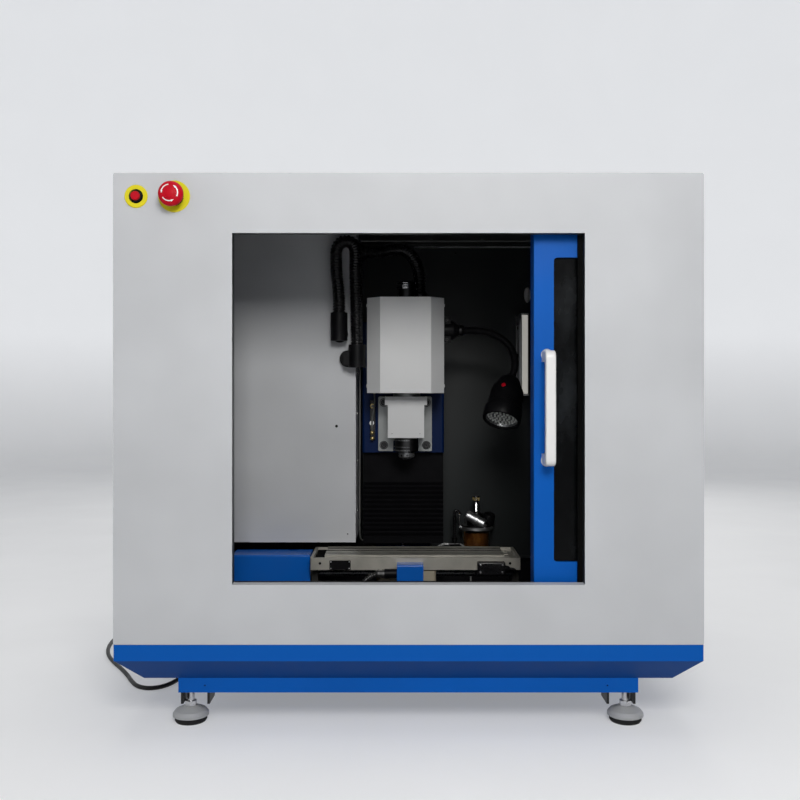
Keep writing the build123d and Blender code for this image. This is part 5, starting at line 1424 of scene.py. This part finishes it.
@dataclass
class Chamber(Assembly):
    """Small fittings on the chamber's walls and on the control compartment."""

    wall: float = 748.5
    face: float = 400.0
    box_right: float = -104.0
    box_low: float = 245.0
    gland_depth: float = 510.0
    tray: float = 86.1
    plug: Point = (293, 748.5, 780)
    plug_stretch: float = 2.3

    def wall_plug(self) -> Made:
        """Make the oval white plug on the rear wall.

        Returns:
            The piece.
        """
        form = bmesh.new()
        lathe(form, [(0, 0), (7.6, 0), (8.2, 0.8), (7.6, 2.6), (5.2, 3.6), (0, 4.0)], Vector((0, 0, 0)),
              Axis.FRONT, 40)
        for vert in form.verts:
            vert.co = at(*self.plug) + Vector((vert.co.x, vert.co.y, vert.co.z * self.plug_stretch))
        return from_bmesh("wall_plug", form, self.look.white, True)

    def seams(self) -> Made:
        """Fold the sheet edges under the lid and down the compartment's corner in pale strips; the one under
        the lid is a painted highlight on the dark lining.

        Returns:
            The piece.
        """
        right, face, low = self.box_right, self.face, self.box_low
        return block_piece("chamber_seams", self.look.compartment,
                           # Painted highlight: a pale strip on the dark rear lining where the lid's fold
                           # catches the light.
                           ((18, 745.6, 893), (472, 748.4, 896.5), 0.5),
                           ((right - 1.6, face - 0.5, 300), (right + 0.5, face + 1.6, 891), 0.45),
                           ((-320, face - 0.5, low - 0.5), (right + 0.5, face + 1.4, low + 1.4), 0.45))

    def screws(self) -> list[Made]:
        """Plant the small screws of the lid, the rear wall and the compartment.

        Returns:
            One piece for each row of screws.
        """
        look, plant = self.look, self.plant
        rear = ((120, 880), (300, 880), (440, 880), (440, 600), (440, 300))
        return [
            plant("lid_screws", [(x, 697, 906.8) for x in (60, 179, 298, 420)], Axis.DOWN, 3.0, 1.4,
                  look.steel),
            plant("rear_wall_screws", [(x, self.wall, z) for x, z in rear], Axis.FRONT, 3.0, 1.4,
                  look.black_steel),
            plant("compartment_screws", [(x, self.face, z) for x in (-452, -120) for z in (262, 874)],
                  Axis.FRONT, 3.2, 1.2, look.compartment),
            plant("compartment_side_screws", [(self.box_right, 470, z) for z in (300, 405, 590)], Axis.RIGHT,
                  2.6, 1.4, look.steel),
        ]

    def floor_glands(self) -> list[Made]:
        """Hang the row of cable glands under the compartment, each with its short lead.

        Returns:
            The pieces.
        """
        look = self.look
        profile = [(0, 0), (11, 0), (11, 3.5), (9.4, 4.2), (9.4, 6), (10.4, 6.6), (10.4, 12.5), (7, 16),
                   (4.2, 16.5), (0, 16.5)]
        fall = ((0, 0, 144), (0, 0, 118), (1, 4, 78), (5, 14, 42), (11, 30, 14), (16, 50, 3.4),
                (18, 79, 3.4))
        made = [block_piece("floor_junction", look.black_plastic,
                            ((-264, 588, self.tray), (-136, 610, self.tray + 15), 0.8))]
        for index, x in enumerate((-277.5, -220.0, -159.0)):
            route = [(x + across, self.gland_depth + behind, self.tray + up) for across, behind, up in fall]
            made += [turned_piece(f"floor_gland_{index}", profile, (x, self.gland_depth, self.box_low),
                                  Axis.DOWN, look.black_plastic, 24),
                     tube(f"floor_lead_{index}", route, 3.0, look.lead_skin)]
        return made

    def oil_line(self) -> list[Made]:
        """Run the thin pale tube down beside the column, with a fitting at its top and a clip halfway.

        Returns:
            The pieces.
        """
        look = self.look
        return [
            tube("oil_line", [(-104, 470, 628), (-99.5, 470, 628), (-98.2, 470, 616), (-98.0, 470, 560),
                              (-98.4, 471, 440), (-99.0, 476, 330), (-99.6, 486, 262), (-99.0, 494, 240),
                              (-97, 500, 232.5), (-92.5, 504, 231.5)], 1.7, look.pale_tube),
            turned_piece("oil_line_top_fitting", [(0, 0), (4.6, 0), (4.6, 3.4), (3.4, 4.2), (0, 4.2)],
                         (-104, 470, 628), Axis.RIGHT, look.brass, 6, False),
            turned_piece("oil_line_clip", [(0, 0), (4, 0), (4, 1.2), (2.4, 2.4), (0, 2.6)],
                         (-104, 470.5, 504), Axis.RIGHT, look.steel, 20),
        ]

    def light_bar(self) -> list[Made]:
        """Give the light bar its pale front lens, end caps and side screw.

        Returns:
            The pieces.
        """
        look = self.look
        return [
            block_piece("light_bar_lens", look.diffuser, ((267.2, 647.6, 543.5), (280.8, 650.6, 724.5),
                                                          1.2)),
            block_piece("light_bar_caps", look.steel, ((265.2, 647.2, 538.8), (282.8, 748.4, 543.4), 1.0),
                        ((265.2, 647.2, 724.6), (282.8, 748.4, 729.2), 1.0)),
            block_piece("light_bar_side_ribs", look.aluminium, ((265.0, 664, 552), (266.2, 740, 716), 0.4),
                        *(((264.4, depth - 1.2, 560), (266.2, depth + 1.2, 708), 0.4)
                          for depth in (676, 728))),
            self.plant("light_bar_screw", [(265.0, 702, z) for z in (632, 570, 698)], Axis.LEFT, 4.4, 1.8,
                       look.black_steel),
        ]

    def build(self) -> None:
        """Make everything that is fixed to the chamber."""
        self.mount("cabinet", "grey_paint", self.wall_plug(), self.seams(), *self.screws(),
                   *self.floor_glands())
        self.mount("cabinet", "aluminium", *self.oil_line(), *self.light_bar())


@dataclass
class HeadFittings(Assembly):
    """Oil distributor, cover screws and drawbar details that travel with the head."""

    flange_face: float = 470.0
    axis: tuple = (-1.5, 430)
    notches: int = 8

    def distributor(self) -> list[Made]:
        """Make the oil distributor on the slide: block, unions, fitting, hub, pale tube and clamp.

        Returns:
            The pieces, the block first.
        """
        look = self.look
        return [
            block_piece("oil_distributor", look.black_steel, ((-77, 476, 448), (-66, 484, 532), 0.8)),
            turned_piece("distributor_unions", [(0, 0), (3.4, 0), (4.6, 0.8), (4.6, 4.2), (3.6, 5.6),
                                                (1.6, 6.6), (0, 6.8)],
                         [(-72.4, 476, z) for z in (463.5, 451.5)], Axis.FRONT, look.brass, 24),
            turned_piece("distributor_fitting", [(0, 0), (6.0, 0), (6.0, 5), (4.6, 6.4), (0, 6.6)],
                         (-71.6, 476, 520), Axis.FRONT, look.brass, 6, False),
            turned_piece("distributor_hub", [(0, 6), (3.2, 6), (3.2, 9), (0, 9.6)], (-71.6, 476, 520),
                         Axis.FRONT, look.pale_tube, 20),
            tube("distributor_line", [(-68, 470, 548), (-67, 469, 534), (-67.5, 467.5, 522),
                                      (-69.5, 468, 508), (-72, 470, 496), (-73, 471, 484), (-72.8, 472, 474),
                                      (-72.6, 475, 468)], 1.9, look.pale_tube),
            turned_piece("distributor_clamp", [(0, 0), (5, 0), (5, 3), (0, 3)], (-73.4, 476, 484),
                         Axis.FRONT, look.steel, 8, False),
        ]

    def cover(self) -> list[Made]:
        """Add the covers' screws, the hose's flange, the bolts' seats and the drawbar's rings.

        Returns:
            The pieces.
        """
        look, plant = self.look, self.plant
        sides = [plant(name, [(x, depth, z) for depth in (392, 470) for z in (563, 726)], axis, 3.2, 1.6,
                       look.steel)
                 for name, x, axis in (("cover_screws_left", -80.0, Axis.LEFT),
                                       ("cover_screws_right", 75.0, Axis.RIGHT))]
        front = plant("spindle_cover_screws", [(x, 399.9, 466) for x in (-30, 27)], Axis.FRONT, 1.7, 0.9,
                      look.cover_white)
        flange = turned_piece("riser_flange", [(13.6, 0), (22, 0), (22.6, 1), (22.6, 4), (17, 6), (16.6, 15),
                                               (14.4, 17), (13.6, 17)], (28, 462, 740), Axis.UP,
                              look.hose_plastic, 40)
        seats = turned_piece("flange_bolt_seats", [(7.5, -0.1), (8.9, -0.1), (8.7, 0.35), (7.5, 0.35)],
                             [(x, self.flange_face, z) for x in (-48, 42) for z in (437.5, 527.5)],
                             Axis.FRONT, look.black_steel, 40, False)
        form = bmesh.new()
        for low in (3, 6.5, 10, 13.5):
            lathe(form, [(17.0, low), (17.9, low + 0.5), (17.9, low + 1.6), (17.0, low + 2.1)],
                  (-2.5, 430, 760), Axis.UP)
        return [*sides, front, flange, seats, from_bmesh("drawbar_rings", form, look.polished)]

    def nose(self) -> list[Made]:
        """Ring the spindle nose with dull lands, and mark the nut's spanner notches with painted shade.

        Returns:
            The pieces.
        """
        x, depth = self.axis
        lands, marks = bmesh.new(), bmesh.new()
        for low, high in ((429, 431.4), (437, 438.2), (450, 452.4)):
            lathe(lands, [(24.5, low), (24.9, low + 0.3), (24.9, high - 0.3), (24.5, high)], (x, depth, 0),
                  Axis.UP, 64)
        # Each notch is a flat dark disc, painted shade for the recess.
        for step in range(self.notches):
            angle = 2 * math.pi * step / self.notches + 0.2
            across, behind = around(16.4, angle)
            lathe(marks, [(0, -0.4), (2.2, -0.4), (2.2, 0.35), (0, 0.35)], (x + across, depth + behind, 420),
                  (*around(1, angle), 0), 12)
        return [from_bmesh("nose_lands", lands, self.look.reflector),
                from_bmesh("nut_notches", marks, self.look.dark_gap)]

    def build(self) -> None:
        """Make everything that travels with the head or turns with the spindle."""
        block, *fittings = self.distributor()
        self.mount("head", "black_steel", block, *self.cover())
        self.mount("head", "brass", *fittings)
        self.mount("spindle", "polished_steel", *self.nose())


@dataclass
class TableFittings(Assembly):
    """Blank plate and screws on the table, and the limit switch's lid and lead."""

    front: float = 300.0
    trough: float = 226.7
    slots: tuple = (334.0, 360.0, 386.0)

    def marks(self) -> list[Made]:
        """Make the blank black plate, its rivets, the front screws, and the painted shade in the trough and
        the slots.

        Returns:
            The pieces.
        """
        look, plant, front = self.look, self.plant, self.front
        return [
            block_piece("table_plate", look.black_plastic, ((-149.7, front - 1.0, 209),
                                                            (-109, front + 0.1, 227), 0.4)),
            plant("table_plate_rivets", [(x, front - 1.0, z) for x in (-147, -111.7)
                                         for z in (211.6, 224.4)], Axis.FRONT, 1.2, 0.3, look.steel, 0.3, 12,
                  look.steel),
            plant("table_front_screws", [(x, front, 221.5) for x in (-168, 198.5)], Axis.FRONT, 2.6, 0.8,
                  look.black_steel, 0.6),
            # Painted shade: thin dark layers in the left trough and on the slots' far walls.
            block_piece("table_oil_film", look.dark_gap, ((-180.7, 306.3, self.trough - 0.2),
                                                          (-160.3, 413.7, self.trough + 0.25), 0.1),
                        *(((-159.9, slot + 3.25, 230.2), (188.9, slot + 3.55, 234.9), 0.1)
                          for slot in self.slots)),
        ]

    def switch(self) -> list[Made]:
        """Add the table switch's lid, its screws, gland and lead.

        Returns:
            The pieces.
        """
        look = self.look
        return [
            block_piece("switch_lid", look.hose_plastic, ((137, 284.6, 203.5), (186, 286.3, 224.5), 0.6)),
            self.plant("switch_screws", [(x, 284.6, z) for x in (140.5, 182.5) for z in (207, 221)],
                       Axis.FRONT, 1.6, 0.8, look.steel),
            turned_piece("switch_gland", [(0, 0), (5.6, 0), (5.6, 5), (4.4, 7), (3.2, 9), (0, 9)],
                         (188, 293, 213), Axis.RIGHT, look.black_plastic, 24),
            tube("switch_lead", [(196, 293, 213), (203, 293, 213), (209, 298, 208), (211, 312, 203),
                                 (210, 340, 201), (206, 372, 202), (199, 398, 206), (197, 412, 212),
                                 (197, 419.9, 214)], 2.4, look.lead_skin),
        ]

    def build(self) -> None:
        """Make everything that travels with the table."""
        self.mount("table", "black_plastic", *self.marks(), *self.switch())


@dataclass
class CabinetTrim(Assembly):
    """Door seal with painted shade, handle feet and fasteners of the cabinet, and the lead's strain relief.
    """

    half: float = 475.0
    back: float = 750.0
    boot: tuple = ((-300, 766, 190), (-300, 774, 190), (-300.4, 782, 189.6), (-300.9, 789, 188.6),
                   (-301.7, 796, 186.8), (-303, 803, 183.6), (-304.4, 808.5, 179.8))
    boot_steps: int = 72
    boot_sides: int = 28
    boot_radius: float = 8.4
    boot_taper: float = 3.5
    boot_groove: float = 0.9

    def door(self) -> None:
        """Make the dark seal strip beside the front leaf, its darkness painted shade, and the handle's feet.
        """
        # Painted shade: the strip stands for the shadow beside the window's right edge, on the door's rail.
        seal = block_piece("door_edge_seal", self.look.dark_gap, ((276.4, 20.4, 236), (292, 24.0, 820), 0.6),
                           ((276.4, 24.0, 236), (279.0, 28.8, 820), 0.9))
        feet = turned_piece("handle_feet", [(0, 0), (9.8, 0), (9.8, 0.9), (8.8, 1.6), (0, 1.6)],
                            [(227.05, 30, z) for z in (443.0, 616.3)], Axis.FRONT, self.look.steel, 36,
                            False)
        self.mount("cabinet", "rubber", seal)
        self.mount("door_front", "white_handle", feet)

    def fasteners(self) -> list[Made]:
        """Plant the screws of the rear panel, the lid, the sides and the plinth.

        Returns:
            One piece for each row.
        """
        look, half = self.look, self.half
        rear = [(x, z) for x in (-462, -231, 0, 231, 462) for z in (162, 896)]
        rear += [(x, z) for x in (-462, 462) for z in (345, 529, 712)]
        rows = {
            "rear_panel_screws": (Axis.BACK, [(x, self.back, z) for x, z in rear]),
            "lid_outer_screws": (Axis.UP, [(x, depth, 908) for x in (-455, 0, 455)
                                           for depth in (60, 400, 735)]),
            "left_side_screws": (Axis.LEFT, [(-half, depth, z) for depth in (44, 735) for z in (175, 880)]),
            "right_side_screws": (Axis.RIGHT, [(half, depth, z) for depth in (44, 735) for z in (175, 880)]),
        }
        made = [self.plant(name, places, axis, 4.2, 1.8, look.steel) for name,
                (axis, places) in rows.items()]
        return made + [self.plant("plinth_rivets", [(x, 38, 72) for x in (-335, 328)], Axis.FRONT, 2.6, 0.6,
                                  look.blue_sheet, 0.5)]

    def strain_relief(self) -> Made:
        """Sleeve the root of the supply lead in a ribbed, tapering boot.

        Returns:
            The piece.
        """
        path = to_mesh(spline("lead_boot_line", self.boot), "lead_boot_path")
        points = [vert.co.copy() for vert in path.data.vertices]
        bpy.data.objects.remove(path)
        lengths = [0.0]
        for first, second in zip(points, points[1:]):
            lengths.append(lengths[-1] + (second - first).length)
        form, rings = bmesh.new(), []
        steps, sides = self.boot_steps, self.boot_sides
        for step in range(steps + 1):
            reach = lengths[-1] * step / steps
            index = max(i for i, value in enumerate(lengths[:-1]) if value <= reach + 1e-9)
            share = (reach - lengths[index]) / max(1e-9, lengths[index + 1] - lengths[index])
            centre = points[index].lerp(points[index + 1], min(1.0, share))
            frame = turning(points[index + 1] - points[index]).to_3x3()
            groove = self.boot_groove if 8 < step < steps - 6 and (step // 3) % 2 else 0.0
            radius = self.boot_radius - self.boot_taper * step / steps - groove
            rings.append([form.verts.new(centre + frame @ Vector((*around(1, 2 * math.pi * side / sides), 0))
                                         * radius / 1000) for side in range(sides)])
        for low, high in zip(rings, rings[1:]):
            for side in range(sides):
                after = (side + 1) % sides
                form.faces.new([low[side], low[after], high[after], high[side]])
        form.faces.new(rings[0])
        form.faces.new(rings[-1])
        return from_bmesh("lead_strain_relief", form, self.look.rubber, True)

    def build(self) -> None:
        """Make the door's trim, the outside's fasteners and the boot."""
        self.door()
        self.mount("cabinet", "black_steel", *self.fasteners())
        self.mount("cabinet", "rubber", self.strain_relief())


@dataclass
class Dressing(Assembly):
    """Finishes of the CAD nodes."""

    def build(self) -> None:
        """Give every node its finish."""
        rows = {
            "front_sheet": "front_panel",
            "lined_sheet": "side_panels rear_panel top_panel",
            "tray_coat": "base_tray",
            "blue_sheet": "plinth door_frame_front",
            "cover_blue": "x_motor_cover y_motor_cover",
            "painted_shade_blue": "column head_slide",
            "painted_shade_leaf_blue": "door_frame_middle door_frame_rear",
            "compartment": "control_compartment",
            "cover_white": "spindle_cover head_cover",
            "bed_enamel": "machine_base",
            "cast_grey": "foot_discs",
            "steel": "foot_studs",
            "reflector": "collet_nut x_screw",
            "black_steel": "door_tracks foot_brackets flange_bolts spindle_shaft x_motor axis_motors "
                           "spindle_motor oiler_pump",
            "rubber": "foot_pads way_cover",
            "black_plastic": "control_units button_bases table_switch lamp_arm lamp_head cable_glands "
                             "fixed_hoses axis_conduit head_hose",
            "aluminium": "light_bar",
            "white": "door_handle",
            "yellow": "button_rings",
            "red": "estop_head stop_button_cap",
            "saddle_iron": "saddle",
            "ground_iron": "table",
            "flange_iron": "spindle_housing",
            "brass": "screw_nuts",
            "polished": "y_screw z_screw oiler_plunger",
            "pane": "door_pane_front door_pane_middle door_pane_rear",
            "lens": "lamp_lens",
            "cup": "oiler_cup",
        }
        for key, names in rows.items():
            self.shop.dress(self.look.finishes[key], *names.split())


@dataclass
class Studio:
    """Camera, pale floor and backdrop, and soft lamps."""

    focal: float = 42.0
    shift: float = -0.025
    distance: float = 1500.0
    eye: tuple = (-13.7, 575)
    lift: float = 0.3
    lamps: tuple = (
        ("key_lamp", (1.3, -2.3, 2.1), 1.3, 6, (0, 0, 0.45), 1.0),
        ("window_lamp", (0.15, -2.1, 1.4), 0.6, 23, (0, 0.1, 0.5), 1.0),
        ("fill_lamp", (-1.9, -2.0, 1.4), 1.8, 5, (0, 0, 0.45), 1.0),
        ("top_lamp", (0.0, 0.3, 3.2), 2.0, 20, (0, 0, 0.45), 0.25),
        ("back_lamp", (0.4, 2.8, 1.9), 2.0, 22, (0, 0, 0.45), 0.5),
    )

    def camera(self) -> None:
        """Place the camera straight in front of the window."""
        data = bpy.data.cameras.new("camera")
        data.lens = self.focal
        data.sensor_width = 36
        data.shift_y = self.shift
        data.clip_end = 50
        made = link("camera", data)
        made.location = at(self.eye[0], -self.distance, self.eye[1])
        made.rotation_euler = (math.pi / 2, 0, 0)
        bpy.context.scene.camera = made

    def ground(self) -> None:
        """Lay a pale floor that rises softly into a backdrop."""
        tree = Tree("pale_floor")
        tree.join(tree.tint((0.66, 0.66, 0.66), (0.7, 0.7, 0.7), tree.between(tree.noise(300, 3), 0, 1)),
                  tree.shader.inputs["Base Color"])
        seen = tree.nodes.new("ShaderNodeLightPath").outputs
        rays = tree.maths("ADD", tree.maths("ADD", seen["Is Camera Ray"], seen["Is Glossy Ray"]),
                          seen["Is Transmission Ray"])
        glow = tree.between(tree.apart()[2], self.lift, self.lift * 2.0, 0.0, 0.9)
        tree.join(tree.maths("MULTIPLY", tree.maths("MINIMUM", rays, 1.0), glow),
                  tree.shader.inputs["Emission Strength"])
        form = bmesh.new()
        lathe(form, [(0, 0), (4500, 0), (5000, 60), (5400, 400), (5600, 1200), (5600, 5200)],
              Vector((0, 0, 0)), Axis.UP, 64)
        ground = from_bmesh("pale_floor", form, tree.close(Roughness=0.9,
                                                           Emission_Color=(0.92, 0.94, 0.97, 1)), True)
        form = bmesh.new()
        form.from_mesh(ground.data)
        top = [face for face in form.faces if len(face.verts) > 4]
        bmesh.ops.delete(form, geom=top, context="FACES")
        bmesh.ops.reverse_faces(form, faces=form.faces)
        form.to_mesh(ground.data)
        form.free()

    def lamp(self, name: str, place: Point, size: float, power: float, aim: Point, shine: float) -> None:
        """Hang one square area lamp.

        Args:
            name: Name of the lamp.
            place: Where it hangs, in metres.
            size: Side of its face in metres.
            power: Its power in watts.
            aim: Point that it faces, in metres.
            shine: Factor on its glossy reflections.
        """
        data = bpy.data.lights.new(name, "AREA")
        data.size = size
        data.energy = power
        data.color = (1.0, 0.985, 0.96)
        data.specular_factor = shine
        made = link(name, data)
        made.visible_camera = False
        made.location = place
        made.rotation_euler = (Vector(aim) - Vector(place)).to_track_quat("-Z", "Y").to_euler()

    def build(self) -> None:
        """Set the colour transform, the world, the camera, the floor and the lamps."""
        scene = bpy.context.scene
        scene.view_settings.view_transform = "Standard"
        scene.world = bpy.data.worlds.new("studio")
        scene.world.use_nodes = True
        sky = scene.world.node_tree.nodes["Background"].inputs
        sky["Color"].default_value = (0.9, 0.93, 1.0, 1)
        sky["Strength"].default_value = 0.28
        self.camera()
        self.ground()
        for row in self.lamps:
            self.lamp(*row)


def main() -> None:
    """Build the whole machine in order."""
    logging.basicConfig(level=logging.INFO, format="%(message)s")
    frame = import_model()
    shop = Workshop(frame["nodes"])
    Studio().build()
    for part in (Dressing, MainsLead, Hoses, WayCover, Controls, WorkLamp, Oiler, Chamber, HeadFittings,
                 TableFittings, CabinetTrim):
        known = set(bpy.data.objects.keys())
        part(shop).build()
        for name in sorted(set(bpy.data.objects.keys()) - known):
            LOG.info("%s: %s", part.__name__, name)
    bpy.context.view_layer.update()


if __name__ == "__main__":
    main()
